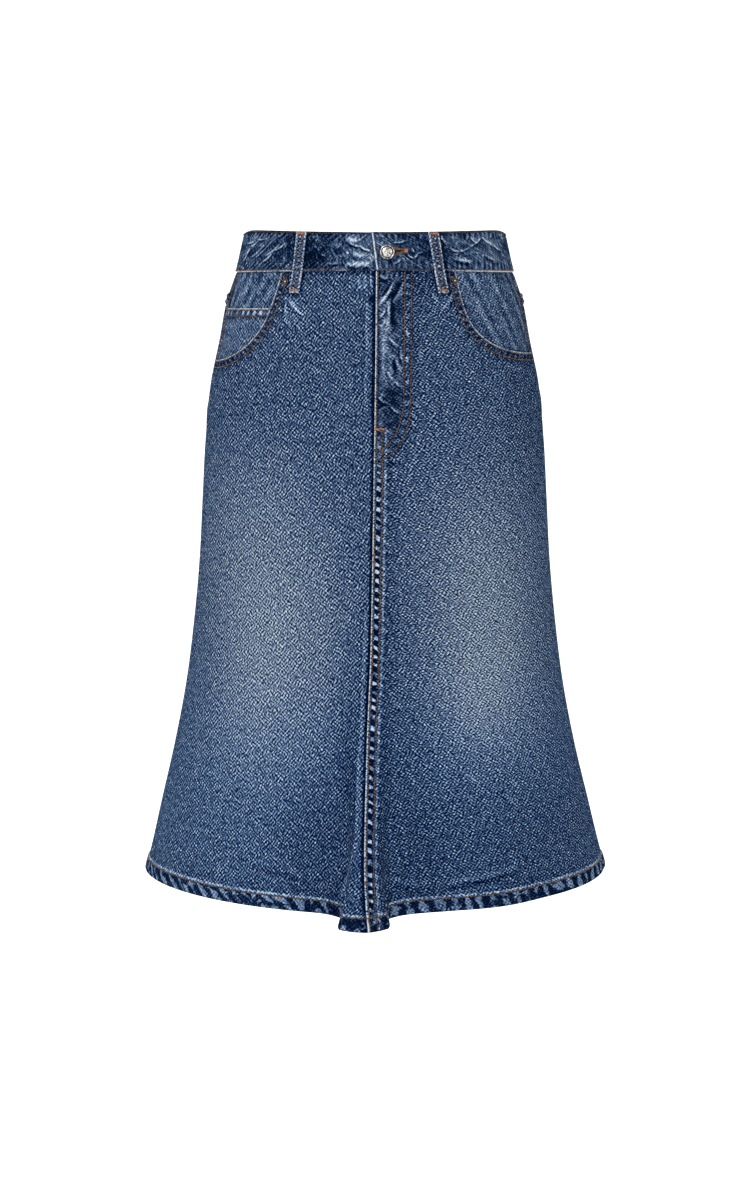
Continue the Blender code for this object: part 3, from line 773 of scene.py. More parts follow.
def add_creases(look, angle, height, creases, crest):
    """The listed creases: each a bell across a line that bows, and fades at both ends.
    crest is the depth that leaves a crest quite worn."""
    here = np.stack([girth(angle, height), height], axis=-1)
    for ends, half_width, depth in creases:
        start, step = np.array(ends[0]), np.subtract(ends[1], ends[0])
        length = np.hypot(*step)
        near = np.abs(here[..., 0] - start[0]) < length + 0.02
        near &= np.abs(here[..., 1] - start[1]) < length + 0.02
        if not near.any():
            continue
        share = ((here - start) * step).sum(-1) / length**2
        bow = min(0.10 * length, CREASE_BOW) * np.sin(math.pi * np.clip(share, 0, 1))
        sideways = (here[..., 0] - start[0]) * step[1] - (here[..., 1] - start[1]) * step[0]
        sideways = sideways / length - bow
        ends_fade = smooth((share + 0.1) / 0.3) * smooth((1.1 - share) / 0.4)
        # The crest is pale with wear; the dip on its one side is painted shade on the fold's lower
        # side.
        ridge = bell(sideways, half_width) - 0.6 * bell(sideways - 1.8 * half_width, half_width)
        look["lift"] += depth * ridge * ends_fade
        look["crease"] += ridge * ends_fade * depth / crest


def panel_top(angle):
    return edge_height(WAIST_SEAM, angle) - SEAM_GAP


def pocket_edge(side, count):
    """Angles and drops below the waist seam of points evenly spaced along a pocket's opening,
    which is a quarter of a superellipse."""
    pocket = POCKETS[side]
    start, power = math.radians(pocket["angle"]), 2.0 / pocket["squareness"]
    turned = np.linspace(0.0, 0.5 * math.pi, 400)
    angles = start + (SIDE_SEAM - start) * (1.0 - np.cos(turned) ** power)
    drops = pocket["drop"] * np.sin(turned) ** power
    steps = np.hypot(np.diff(angles) * section("front", -0.1), np.diff(drops))
    run = np.concatenate([[0.0], np.cumsum(steps)])
    at = np.linspace(0.0, run[-1], count + 1)
    return np.interp(at, run, angles), np.interp(at, run, drops)


def pocket_line(side, count=90):
    """A pocket's opening as girth (positive) and height, from the waist seam to the side seam."""
    hand = HAND[side]
    angles, drops = pocket_edge(side, count)
    heights = panel_top(hand * angles) - drops
    return np.stack([hand * girth(hand * angles, heights), heights], axis=1)


def fly_reach(row, across, height):
    """How far outside a fly row a point lies: below 0 inside it.  The row runs straight down, then
    round a quarter of an ellipse."""
    row = dict(zip(FLY_ROW_COLUMNS, row))
    down = np.clip((row["curve_from"] - height) / (row["curve_from"] - row["foot"]), 0.0, None)
    return row["width"] * (np.hypot(np.maximum(across, 0.0) / row["width"], down) - 1.0)


def loop_contact_shadow(angle, height):
    """How much painted contact shadow falls on the cloth under and close beside a belt loop: 1
    there, and 0 further away.
    """
    share = np.zeros(np.shape(angle))
    for degrees in LOOP_ANGLES.values():
        away = np.abs(wrapped(angle - math.radians(degrees)))
        away = away / angle_for_width(1.0, angle, height) - 0.5 * LOOP_WIDTH
        below = LOOP_FOOT - height
        share = np.maximum(share, bell(np.maximum(np.maximum(away, below), 0.0), 0.0020))
    return share


def front_look(side, angle, height):
    """The front panels: centre lap and fly, pocket edge, side seam, waist seam and hem."""
    angle, height, look = plain(angle, height)
    hand = HAND[side]
    run = hand * girth(angle, height)
    across = hand * section("half_width", height) * np.sin(angle)
    below_waist = panel_top(angle) - height
    seam_part = smooth((BAR_TACK + 0.004 - height) / 0.006)

    if side == "left":
        from_rows = [fly_reach(row, across, height) for row in FLY_ROWS]
        plateau = 1.0 - smooth((from_rows[1] + 0.0004) / 0.0040)
        look["lift"] += LAP_LIFT * np.maximum(lap_share(across), plateau)
        roll_edge(look, across)
        wear(look, 1.30 * np.abs(across), 1.75 - 0.25 * seam_part)
        # Painted shadow of the edge row's thread, beside it along the fly.
        look["fade"] -= 0.45 * bell(across - 0.0032, 0.0009) * (1.0 - seam_part)
        for row in LAP_ROWS:
            stitch_groove(look, across - row, seam_part if row > LAP_ROWS[0] else 1.0)
        ladder = between(across, *LADDER, 0.0010) * seam_part
        ladder *= 0.35 + 0.65 * smooth((-0.222 - height) / 0.030)
        beat = uneven(-height, LADDER_PITCH) - across / 0.024
        pucker(look, beat, 2.4 * ladder, 0.00030)
        look["fade"] -= 0.16 * ladder
        look["fade"] += 1.00 * bell(across - 0.0116, 0.0014) * seam_part
        beside_lap = 0.46 * between(across, LAP_ROWS[1] + 0.0008, 0.0170, 0.0030) * seam_part
        pucker(look, beat, beside_lap, 0.00020)
        for from_row in from_rows:
            stitch_groove(look, from_row)
        in_fly = smooth(-from_rows[0] / 0.004) * smooth(across / 0.003)
        at_least(look, "marble", in_fly)
        look["aged"] += 0.45 * in_fly
        rows_apart = between(from_rows[0], 0.0006, 0.0064, 0.0012)
        rows_apart *= smooth((0.040 - across) / 0.002)
        pucker(look, uneven(-height, 0.0090), 0.55 * rows_apart, 0.00018)
        look["fade"] -= 0.14 * bell(from_rows[1] - 0.004, 0.006)
        # Painted shade beside the lapped seam, where the flute's wall turns away from the light.
        look["fade"] -= 0.20 * bell(across - 0.017, 0.008) * seam_part
        look["fade"] += 0.05 * in_fly
        # Painted shadow under the waistband, beside the fly's top.
        look["fade"] -= 0.20 * bell(across - 0.012, 0.012) * bell(below_waist, 0.016)
    else:
        # The right panel beside centre front: painted shadow cast by the lap over it, wider along
        # the fly.
        reach = 0.0020 + (1.0 - seam_part) * 0.0008 * smooth((below_waist - 0.02) / 0.02)
        gap = 1.0 - smooth((across - reach) / 0.0012)
        look["fade"] -= 1.35 * gap
        at_least(look, "puckered", 0.6 * gap)

    line = pocket_line(side)
    near = height > -0.15
    from_pocket = np.full(angle.shape, FAR)
    along = np.zeros(angle.shape)
    from_pocket[near], along[near] = from_line(np.stack([run, height], axis=-1)[near], line)
    rows_apart = sew_edge(look, from_pocket, along, 0.0068, 0.020, 0.75, 0.00020)
    wear(look, 0.85 * np.abs(from_pocket), 1.45 + 0.15 * np.sin(along / 0.009))
    look["lift"] += 0.0005 * (1.0 - smooth((from_pocket - SECOND_ROW + 0.0010) / 0.0030))
    # Darker between the rows, and painted shadow just outside the second row.
    look["fade"] -= 0.16 * rows_apart + 0.14 * bell(from_pocket - 0.0105, 0.0030)
    outside = 0.30 * between(from_pocket, SECOND_ROW + 0.0006, 0.0150, 0.0040)
    pucker(look, uneven(along, 0.0110), outside, 0.00015)

    from_side = hand * girth(hand * SIDE_SEAM, height) - run
    add_side_seam(look, from_side)
    look["lift"] += 0.0003 * bell(from_side - 0.0045, 0.0030)
    add_waist_seam(look, below_waist, run)
    # Painted shadow under the waistband.
    look["fade"] -= 0.10 * bell(below_waist, 0.010) + 0.40 * bell(below_waist - 0.0010, 0.0022)
    at_least(look, "marble", 0.35 * bell(below_waist, 0.020))
    at_least(look, "marble", 0.45 * bell(across, 0.020) * (1.0 - seam_part))
    at_least(look, "marble", 0.16)

    # Painted contact shadow under and beside the belt loops.
    look["fade"] -= 0.90 * loop_contact_shadow(angle, height)
    add_creases(look, angle, height, PANEL_CREASES, CREST)
    add_creases(look, angle, height, SOFT_CREASES, SOFT_CREST)
    add_patches(look, angle, height)
    add_hem(look, angle, height)
    return look


def yoke_foot(angle):
    """Height of the yoke's lower edge, which dips from the side seams to a point at centre back."""
    share = (np.abs(angle) - SIDE_SEAM) / (math.pi - SIDE_SEAM)
    return panel_top(angle) - YOKE_SIDE_DROP - (YOKE_BACK_DROP - YOKE_SIDE_DROP) * share


def add_back_seams(look, angle, height, lapped):
    """Side seam and centre back seam of a back piece; the left piece laps over at the back."""
    turned = np.abs(wrapped(angle))
    run = girth(turned, height)
    from_side = run - girth(SIDE_SEAM, height)
    from_back = girth(math.pi, height) - run
    add_side_seam(look, from_side)
    if lapped:
        look["lift"] += LAP_LIFT * lap_share(from_back)
        roll_edge(look, from_back)
        wear(look, np.abs(from_back - 0.0002), 0.9)
        for row in LAP_ROWS:
            stitch_groove(look, from_back - row)
        ladder = between(from_back, *LADDER, 0.0010)
        beat = uneven(-height, LADDER_PITCH) + from_back / 0.015
        pucker(look, beat, 2.0 * ladder, 0.00030)
        look["fade"] -= 0.28 * ladder
    else:
        look["lift"] -= 0.0006 * smooth(-from_back / 0.002)
    look["fade"] -= 0.12 * bell(from_back - 0.012, 0.012)


def back_look(side, angle, height):
    """The back panels: under the yoke at the top, side and centre seams, and the hem."""
    angle, height, look = plain(angle, height)
    add_back_seams(look, angle, height, side == "left")
    below_yoke = yoke_foot(angle) - height
    look["lift"] -= 0.0011 * (1.0 - smooth((below_yoke + 0.0005) / 0.0030))
    look["fade"] -= 0.10 * bell(below_yoke, 0.010)
    window = 0.40 * between(below_yoke, 0.0010, 0.0090, 0.0040)
    pucker(look, uneven(girth(angle, height), 0.0064), window, 0.00018)
    at_least(look, "marble", 0.16 + 0.25 * bell(below_yoke, 0.020))
    add_creases(look, angle, height, SOFT_CREASES, SOFT_CREST)
    add_hem(look, angle, height)
    return look


def yoke_look(side, angle, height):
    """A yoke: its foot laps over the back panel in a raised, double-stitched seam."""
    angle, height, look = plain(angle, height)
    add_back_seams(look, angle, height, side == "left")
    above_foot = height - yoke_foot(angle)
    below_waist = panel_top(angle) - height
    run = girth(angle, height)
    look["lift"] += 0.0010 * (1.0 - smooth((above_foot - SECOND_ROW) / 0.0035))
    sew_edge(look, above_foot, run, 0.0056, 0.020, 0.8, 0.00025)
    wear(look, np.abs(above_foot - 0.0003), 0.75 + 0.15 * np.sin(run / 0.011))
    add_waist_seam(look, below_waist, run)
    # A little darker overall, with painted contact shadow under and beside the belt loops.
    look["fade"] -= 0.06 + 0.70 * loop_contact_shadow(angle, height)
    at_least(look, "marble", 0.40)
    return look


def back_lap_look(angle, height):
    """The left lap at centre back, which runs up over the yoke's foot."""
    angle, height, look = plain(angle, height)
    add_back_seams(look, angle, height, True)
    add_hem(look, angle, height)
    look["lift"] += 0.0006 * bell(height - yoke_foot(math.pi), 0.010)
    return look


# ---------------------------------------------------------------- making meshes


def fill_mesh(name, points, faces, materials, face_materials=None):
    """A mesh from an array of points and one of faces with a fixed number of corners."""
    mesh = bpy.data.meshes.new(name)
    corners = faces.shape[1]
    mesh.vertices.add(len(points))
    mesh.vertices.foreach_set("co", np.ascontiguousarray(points, np.float32).ravel())
    mesh.loops.add(faces.size)
    mesh.loops.foreach_set("vertex_index", np.ascontiguousarray(faces, np.int32).ravel())
    mesh.polygons.add(len(faces))
    mesh.polygons.foreach_set("loop_start", np.arange(0, faces.size, corners, dtype=np.int32))
    mesh.polygons.foreach_set("use_smooth", np.ones(len(faces), bool))
    for material in materials:
        mesh.materials.append(material)
    if face_materials is not None:
        mesh.polygons.foreach_set("material_index", np.ascontiguousarray(face_materials, np.int32))
    mesh.update(calc_edges=True)
    return mesh


def place(name, mesh, nodes=()):
    """Puts a mesh into the scene as a piece that rides on the skirt and stands for CAD nodes."""
    piece = bpy.data.objects.new(name, mesh)
    show(piece)
    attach(piece, BODY)
    if nodes:
        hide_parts(*nodes)
    return piece


def wall_faces(rows, columns):
    """Quads of a closed wall between two skins of a grid: face, back and rim, in that order."""
    index = np.arange(rows * columns).reshape(rows, columns)
    a, b, c, d = index[:-1, :-1], index[1:, :-1], index[1:, 1:], index[:-1, 1:]
    behind = rows * columns
    around = np.concatenate([index[0, :], index[1:, -1], index[-1, -2::-1], index[-2:0:-1, 0]])
    following = np.roll(around, -1)
    return (
        np.stack([a, b, c, d], -1).reshape(-1, 4),
        np.stack([a, d, c, b], -1).reshape(-1, 4) + behind,
        np.stack([around, following, following + behind, around + behind], -1),
    )


def grid(angles, heights, look, *given):
    """A grid of a piece of cloth, with the look there."""
    return angles, heights, look(*given, angles, heights)


def cloth_piece(name, node, grids, materials, cloth_from=0.0):
    """A piece of cloth from one or more grids of (angles, heights, look): an outer skin at the
    look's lift, an inner skin one thickness under it, and a rim between them.  Its cloth map runs
    round the skirt from an angle and down from the waist, in metres."""
    points, faces, kinds, across, down = [], [], [], [], []
    marks = {mark: [] for mark in MARKS}
    start, widest, longest, area = 0, 0.0, 0.0, 0.0
    for angles, heights, look in grids:
        angles, heights = np.broadcast_arrays(angles, heights)
        outer = lifted(angles, heights, look["lift"])
        inner = lifted(angles, heights, look["lift"] - look["thick"])
        rows, columns = angles.shape
        front, back, rim = wall_faces(rows, columns)
        points += [outer.reshape(-1, 3), inner.reshape(-1, 3)]
        faces += [front + start, back + start, rim + start]
        kinds += [np.zeros(len(front)), np.ones(len(back)), np.zeros(len(rim))]
        start += 2 * rows * columns
        run = girth(angles, heights) - girth(cloth_from, heights)
        across += [run.ravel()] * 2
        down += [-heights.ravel() * 1.03] * 2
        for mark in MARKS:
            marks[mark] += [look[mark].ravel()] * 2
        sideways, lengthways = np.diff(outer, axis=1), np.diff(outer, axis=0)
        widest += np.linalg.norm(sideways, axis=2).sum(1).max()
        longest = max(longest, np.linalg.norm(lengthways, axis=2).sum(0).max())
        area += np.linalg.norm(np.cross(sideways[:-1], lengthways[:, :-1]), axis=2).sum()
    faces = np.concatenate(faces)
    mesh = fill_mesh(name, np.concatenate(points), faces, materials, np.concatenate(kinds))
    mesh.set_sharp_from_angle(angle=math.radians(50))
    layer = mesh.uv_layers.new(name="cloth")
    flat = np.stack([np.concatenate(across), np.concatenate(down)], axis=1)[faces.ravel()]
    layer.data.foreach_set("uv", flat.astype(np.float32).ravel())
    for mark in MARKS:
        values = np.concatenate(marks[mark]).astype(np.float32)
        mesh.attributes.new(mark, "FLOAT", "POINT").data.foreach_set("value", values)
    piece = place(name, mesh, [node])
    size = (round(float(widest), 4), round(float(longest), 4))
    area = min(round(float(area), 5), round(size[0] * size[1], 5))
    return piece


def tube_corners(levels, sides):
    """Rings of points, the same moved on by one, and the corners of the quads between them."""
    index = np.arange(levels * sides).reshape(levels, sides)
    around = np.roll(index, -1, axis=1)
    return index, around, (index[:-1], index[1:], around[1:], around[:-1])


def halved(a, b, c, d):
    """Quads cut into triangles."""
    return np.concatenate([np.stack([a, b, c], -1), np.stack([a, c, d], -1)]).reshape(-1, 3)


def stitches(name, starts, ends, normals, material):
    """Threads as a joined mesh.  Each runs from a start to an end: a tube whose rings swell to the
    thread's radius in the middle, bow outwards, and dip into the cloth at both ends."""
    sides = THREAD_SIDES
    starts, ends, normals = (np.asarray(each, float) for each in (starts, ends, normals))
    along = np.array([0.0, 0.10, 0.5, 0.90, 1.0])
    wide = np.array([0.35, 0.90, 1.0, 0.90, 0.35])
    bow = np.array([-0.9, 0.35, 1.0, 0.35, -0.9])
    tangent = ends - starts
    tangent /= np.linalg.norm(tangent, axis=1, keepdims=True)
    normals = normals - (normals * tangent).sum(1, keepdims=True) * tangent
    normals /= np.linalg.norm(normals, axis=1, keepdims=True)
    sideways = np.cross(tangent, normals)
    turn = np.arange(sides) * 2 * math.pi / sides
    centre = starts[:, None] + (ends - starts)[:, None] * along[None, :, None]
    centre = centre + normals[:, None] * (THREAD_BOW * bow)[None, :, None]
    ring = (
        sideways[:, None, None] * np.cos(turn)[None, None, :, None]
        + normals[:, None, None] * np.sin(turn)[None, None, :, None]
    )
    rings = centre[:, :, None] + ring * (THREAD * wide)[None, :, None, None]
    count, levels = len(starts), len(along)
    poles = centre[:, [0, -1]]
    each = levels * sides + 2
    points = np.concatenate([rings.reshape(count, -1, 3), poles], axis=1)
    index, around, (a, d, c, b) = tube_corners(levels, sides)
    tube = halved(a, b, c, d)
    cap = np.stack([index[0], np.full(sides, levels * sides), around[0]], -1)
    foot = np.stack([index[-1], around[-1], np.full(sides, levels * sides + 1)], -1)
    one = np.concatenate([tube, cap, foot])
    faces = (one[None] + (np.arange(count) * each)[:, None, None]).reshape(-1, 3)
    mesh = fill_mesh(name, points.reshape(-1, 3), faces[:, ::-1], [material])
    layer = mesh.attributes.new("length", "FLOAT", "POINT")
    level = np.concatenate([np.repeat(along, sides), [0.0, 1.0]])
    number = np.arange(count)[:, None]
    layer.data.foreach_set("value", (number + level[None]).astype(np.float32).ravel())
    return mesh


def sewn_row(angles, heights, look, *given):
    """Stitches along a line on a look's face in equal steps: their starts, ends and normals."""
    points = lifted(angles, heights, look(*given, angles, heights)["lift"] + 0.5 * THREAD)
    run = np.concatenate([[0.0], np.cumsum(np.linalg.norm(np.diff(points, axis=0), axis=1))])
    count = max(1, int(round(run[-1] / STITCH_PITCH)))
    marks = np.linspace(0.0, run[-1], count + 1)
    begin, finish = marks[:-1] + STITCH_GAP, marks[1:] - STITCH_GAP
    starts, ends = (
        np.stack([np.interp(at, run, points[:, k]) for k in range(3)], axis=1)
        for at in (begin, finish)
    )
    middle = 0.5 * (begin + finish)
    return starts, ends, outward(np.interp(middle, run, angles), np.interp(middle, run, heights))


def tack(angle, height, width, tall, lift, count):
    """A bar tack: close upright threads side by side across its width."""
    spread = np.linspace(-0.5, 0.5, count)
    normal = outward(angle, height)
    middle = lifted(angle, height, lift)
    sideways = surface(angle + 1e-3, height) - surface(angle - 1e-3, height)
    sideways /= np.linalg.norm(sideways)
    upward = np.cross(normal, sideways)
    centres = middle + sideways * (spread * width)[:, None]
    reach = upward * 0.5 * tall
    return centres - reach, centres + reach, np.repeat(normal[None], count, axis=0)


def joined(rows):
    return tuple(np.concatenate([row[k] for row in rows]) for k in range(3))


def lathed(profile, base, normal, steps):
    """A turned piece: a profile of (radius, height) pairs carried round its axis, with its first
    and last points, on the axis, as poles."""
    base, axis = np.asarray(base, float), Vector(normal).normalized()
    across = np.array(axis.orthogonal().normalized())
    axis = np.array(axis)
    other = np.cross(axis, across)
    turn = np.arange(steps) * 2 * math.pi / steps
    ring = across * np.cos(turn)[:, None] + other * np.sin(turn)[:, None]
    inner = np.array(profile[1:-1])
    rings = base + ring[None] * inner[:, 0, None, None] + axis * inner[:, 1, None, None]
    poles = base + axis * np.array([[profile[0][1]], [profile[-1][1]]])
    index, around, corners = tube_corners(len(inner), steps)
    tube = halved(*corners)
    top, foot = len(inner) * steps, len(inner) * steps + 1
    crown = np.stack([np.full(steps, top), index[0], around[0]], -1)
    under = np.stack([np.full(steps, foot), around[-1], index[-1]], -1)
    return np.concatenate([rings.reshape(-1, 3), poles]), np.concatenate([tube, crown, under])


# ---------------------------------------------------------------- shading


def fill_sockets(tree, made, values):
    """Fills a node's inputs; each value is a number, a colour or another node's output."""
    for socket, value in values.items():
        if isinstance(value, bpy.types.NodeSocket):
            tree.links.new(value, made.inputs[socket])
        else:
            made.inputs[socket].default_value = value


def node(tree, kind, values=None, **settings):
    """Adds a shader node with its inputs and its own settings."""
    made = tree.nodes.new("ShaderNode" + kind)
    for key, value in settings.items():
        setattr(made, key, value)
    fill_sockets(tree, made, values or {})
    return made


def calc(tree, operation, a, b=0.0, c=0.0, clamp=False):
    return node(tree, "Math", {0: a, 1: b, 2: c}, operation=operation, use_clamp=clamp).outputs[0]


def scaled(tree, value, by, plus, clamp=False):
    return calc(tree, "MULTIPLY_ADD", value, by, plus, clamp)


def ranged(tree, value, low, high, to_low=0.0, to_high=1.0, soft=True):
    """A value's place between two others, with soft ends, spread over a new range."""
    kind = "SMOOTHSTEP" if soft else "LINEAR"
    values = {0: value, 1: low, 2: high, 3: to_low, 4: to_high}
    return node(tree, "MapRange", values, interpolation_type=kind).outputs[0]


def mixed(tree, share, a, b):
    values = {0: share, 6: a, 7: b}
    return node(tree, "Mix", values, data_type="RGBA", clamp_factor=True).outputs[2]


def noise(tree, vector, scale, detail=1.0, rough=0.5, warp=0.0):
    values = {"Vector": vector, "Scale": scale, "Detail": detail, "Roughness": rough}
    values["Distortion"] = warp
    return node(tree, "TexNoise", values, noise_dimensions="2D").outputs["Fac"]


def turned_and_scaled(tree, vector, degrees, scale):
    values = {"Vector": vector, "Rotation": (0.0, 0.0, math.radians(degrees)), "Scale": scale}
    return node(tree, "Mapping", values, vector_type="TEXTURE").outputs[0]


def shader_group(name, inputs, outputs):
    """An empty node group with named sockets, and its input and output nodes."""
    tree = bpy.data.node_groups.new(name, "ShaderNodeTree")
    for label, kind in inputs:
        tree.interface.new_socket(label, in_out="INPUT", socket_type="NodeSocket" + kind)
    for label, kind in outputs:
        tree.interface.new_socket(label, in_out="OUTPUT", socket_type="NodeSocket" + kind)
    return tree, tree.nodes.new("NodeGroupInput").outputs, tree.nodes.new("NodeGroupOutput").inputs


LIT = 1.85  # how much brighter than its own value a surface that faces these lights is shown


def rgb(red, green, blue, lit=LIT):
    """A colour from 0 to 255 as it is to look on the screen under these lights."""
    shares = np.array([red, green, blue]) / 255
    linear = np.where(shares > 0.04045, ((shares + 0.055) / 1.055) ** 2.4, shares / 12.92) / lit
    return (*(float(each) for each in linear), 1.0)


# Crossed lines of the twill: direction in degrees (or None for the lean), pitch in mm, strength.
TWILL_LINES = ((127.0, 3.2, 0.70), (39.0, 2.95, 0.76), (None, 2.8, 0.46))


def make_twill_group():
    """Grain of the twill: lines along both diagonals and a third way, which wander and break off,
    with short fine flecks along the third.  Lean is that third direction's angle.  Takes the cloth
    map in millimetres."""
    tree, given, out = shader_group(
        "twill_grain", [("Cloth", "Vector"), ("Lean", "Float")],
        [("Grain", "Float"), ("Height", "Float")],
    )
    cloth = given["Cloth"]
    leaning = node(tree, "CombineXYZ", {2: given["Lean"]}).outputs[0]
    grain = None
    for order, (degrees, pitch, strength) in enumerate(TWILL_LINES):
        shift = (40.0 * order, 40.0 * order, 0.0)
        shifted = node(tree, "VectorMath", {0: cloth, 1: shift}, operation="ADD").outputs[0]
        lying = turned_and_scaled(tree, cloth, degrees or 0.0, (1.0, 1.0, 1.0))
        if degrees is None:
            tree.links.new(leaning, lying.node.inputs["Rotation"])
        across = node(tree, "SeparateXYZ", {0: lying}).outputs[1]
        wander = calc(tree, "MULTIPLY", noise(tree, shifted, 0.11, 1.0, 0.6), 8.0)
        phase = scaled(tree, across, 2 * math.pi / pitch, wander)
        breaks = ranged(tree, noise(tree, shifted, 0.16, 1.0), 0.34, 0.62, 0.12, 1.5)
        lines = calc(tree, "MULTIPLY", calc(tree, "SINE", phase), strength)
        grain = scaled(tree, lines, breaks, grain or 0.0)
    flecks = turned_and_scaled(tree, cloth, 0.0, (3.1, 0.80, 1.0))
    tree.links.new(leaning, flecks.node.inputs["Rotation"])
    grain = scaled(tree, noise(tree, flecks, 1.0, 0.0), 3.4, grain)
    grain = calc(tree, "SUBTRACT", grain, 1.7)
    along_ribs = turned_and_scaled(tree, cloth, -58, (1.0, 1.0, 1.0))
    ribs = node(
        tree, "TexWave", {"Vector": along_ribs, "Scale": 0.45, "Distortion": 0.6},
        wave_type="BANDS", bands_direction="Y",
    ).outputs["Fac"]
    tree.links.new(grain, out["Grain"])
    height = scaled(tree, ribs, 0.20, calc(tree, "MULTIPLY", grain, 0.5))
    tree.links.new(height, out["Height"])
    return tree


def make_marble_group():
    """Marbling left by the wash: cloudy patches, and thin veins along crumple lines."""
    tree, given, out = shader_group(
        "wash_marble", [("Cloth", "Vector")], [("Clouds", "Float"), ("Veins", "Float")]
    )
    cloth = given["Cloth"]
    clouds = noise(tree, turned_and_scaled(tree, cloth, 25, (12.0, 7.5, 1.0)), 1.0, 2.0, 0.55, 0.8)
    ridge = noise(tree, turned_and_scaled(tree, cloth, 35, (15.0, 7.0, 1.0)), 1.0, 2.0, 0.5, 1.4)
    ridge = calc(tree, "ABSOLUTE", calc(tree, "SUBTRACT", ridge, 0.5))
    veins = ranged(tree, ridge, 0.0, 0.035, 1.0, 0.0)
    gaps = ranged(tree, noise(tree, cloth, 0.07, 1.0), 0.45, 0.62)
    tree.links.new(ranged(tree, clouds, 0.32, 0.68, -1.0, 1.0), out["Clouds"])
    tree.links.new(calc(tree, "MULTIPLY", veins, gaps), out["Veins"])
    return tree


def make_pucker_group():
    """Bars of pale and dark across a seam, one for each beat, broken up by noise."""
    tree, given, out = shader_group(
        "seam_puckers",
        [("Cloth", "Vector"), ("Beat", "Float"), ("Strength", "Float"), ("Roped", "Float")],
        [("Bars", "Float")],
    )
    cloth = given["Cloth"]
    stray = scaled(tree, noise(tree, cloth, 0.16, 1.0), 3.0, -1.5)
    phase = scaled(tree, given["Beat"], 2 * math.pi, stray)
    bars = ranged(tree, calc(tree, "SINE", phase), -0.35, 0.85, -0.7, 1.0)
    swell = ranged(tree, noise(tree, cloth, 0.11, 1.0), 0.30, 0.62, 0.45, 1.25)
    bars = calc(tree, "MULTIPLY", calc(tree, "MULTIPLY", bars, swell), given["Strength"])
    strayed = calc(tree, "MULTIPLY", given["Beat"], 2 * math.pi)
    strayed = scaled(tree, stray, 0.5, strayed)
    blots = scaled(tree, noise(tree, cloth, 0.080, 3.0, 0.50, 1.2), 7.0, -3.5)
    blots = scaled(tree, calc(tree, "SINE", strayed), 0.80, blots)
    patches = ranged(tree, blots, -0.32, 0.78, -0.60, 1.36)
    bars = scaled(tree, patches, given["Roped"], bars)
    tree.links.new(bars, out["Bars"])
    return tree


GRAIN_SHADE = 0.95  # how far the grain shifts the shade


def make_wash_group():
    """Colour of washed indigo: a shade from deep navy to pale, shaken by the grain of the cloth,
    with worn lines on top."""
    tree, given, out = shader_group(
        "indigo_wash",
        [("Shade", "Float"), ("Grain", "Float"), ("Worn", "Float"), ("Aged", "Float")],
        [("Colour", "Color")],
    )
    shade = scaled(tree, given["Worn"], 1.50, given["Shade"])
    shaken = scaled(tree, given["Grain"], GRAIN_SHADE, -0.395)
    shade = calc(tree, "ADD", shade, shaken)
    place_in = calc(tree, "DIVIDE", calc(tree, "ADD", shade, 1.0), 3.0, clamp=True)
    ramp = node(tree, "ValToRGB", {0: place_in})
    stops = ramp.color_ramp.elements
    colours = (
        (-1.0, rgb(3, 13, 34)),
        (-0.55, rgb(9, 27, 58)),
        (0.0, rgb(45, 65, 96)),
        (0.3, rgb(66, 86, 116)),
        (0.65, rgb(91, 111, 140)),
        (1.0, rgb(115, 134, 162)),
        (1.5, rgb(152, 170, 194)),
        (2.0, rgb(200, 212, 226)),
    )
    while len(stops) < len(colours):
        stops.new(0.5)
    for stop, (at, colour) in zip(stops, colours):
        stop.position, stop.color = (at + 1.0) / 3.0, colour
    tint = mixed(tree, given["Aged"], (0.94, 1.09, 1.20, 1.0), (0.96, 0.95, 0.91, 1.0))
    colour = node(
        tree, "Mix", {0: 1.0, 6: ramp.outputs[0], 7: tint}, data_type="RGBA", blend_type="MULTIPLY"
    ).outputs[2]
    tree.links.new(colour, out["Colour"])
    return tree


def new_material(name):
    material = bpy.data.materials.new(name)
    material.use_nodes = True
    tree = material.node_tree
    return material, tree, tree.nodes["Principled BSDF"]


def mark_value(tree, name):
    return node(tree, "Attribute", attribute_name=name).outputs["Fac"]


def cloth_mm(tree):
    uv = node(tree, "UVMap", uv_map="cloth").outputs[0]
    return node(tree, "VectorMath", {0: uv, "Scale": 1000.0}, operation="SCALE").outputs[0]


def placed_group(tree, group, values):
    made = tree.nodes.new("ShaderNodeGroup")
    made.node_tree = group
    fill_sockets(tree, made, values)
    return made.outputs


def bumped(tree, strength, distance, height):
    values = {"Strength": strength, "Distance": distance, "Height": height}
    return node(tree, "Bump", values).outputs[0]


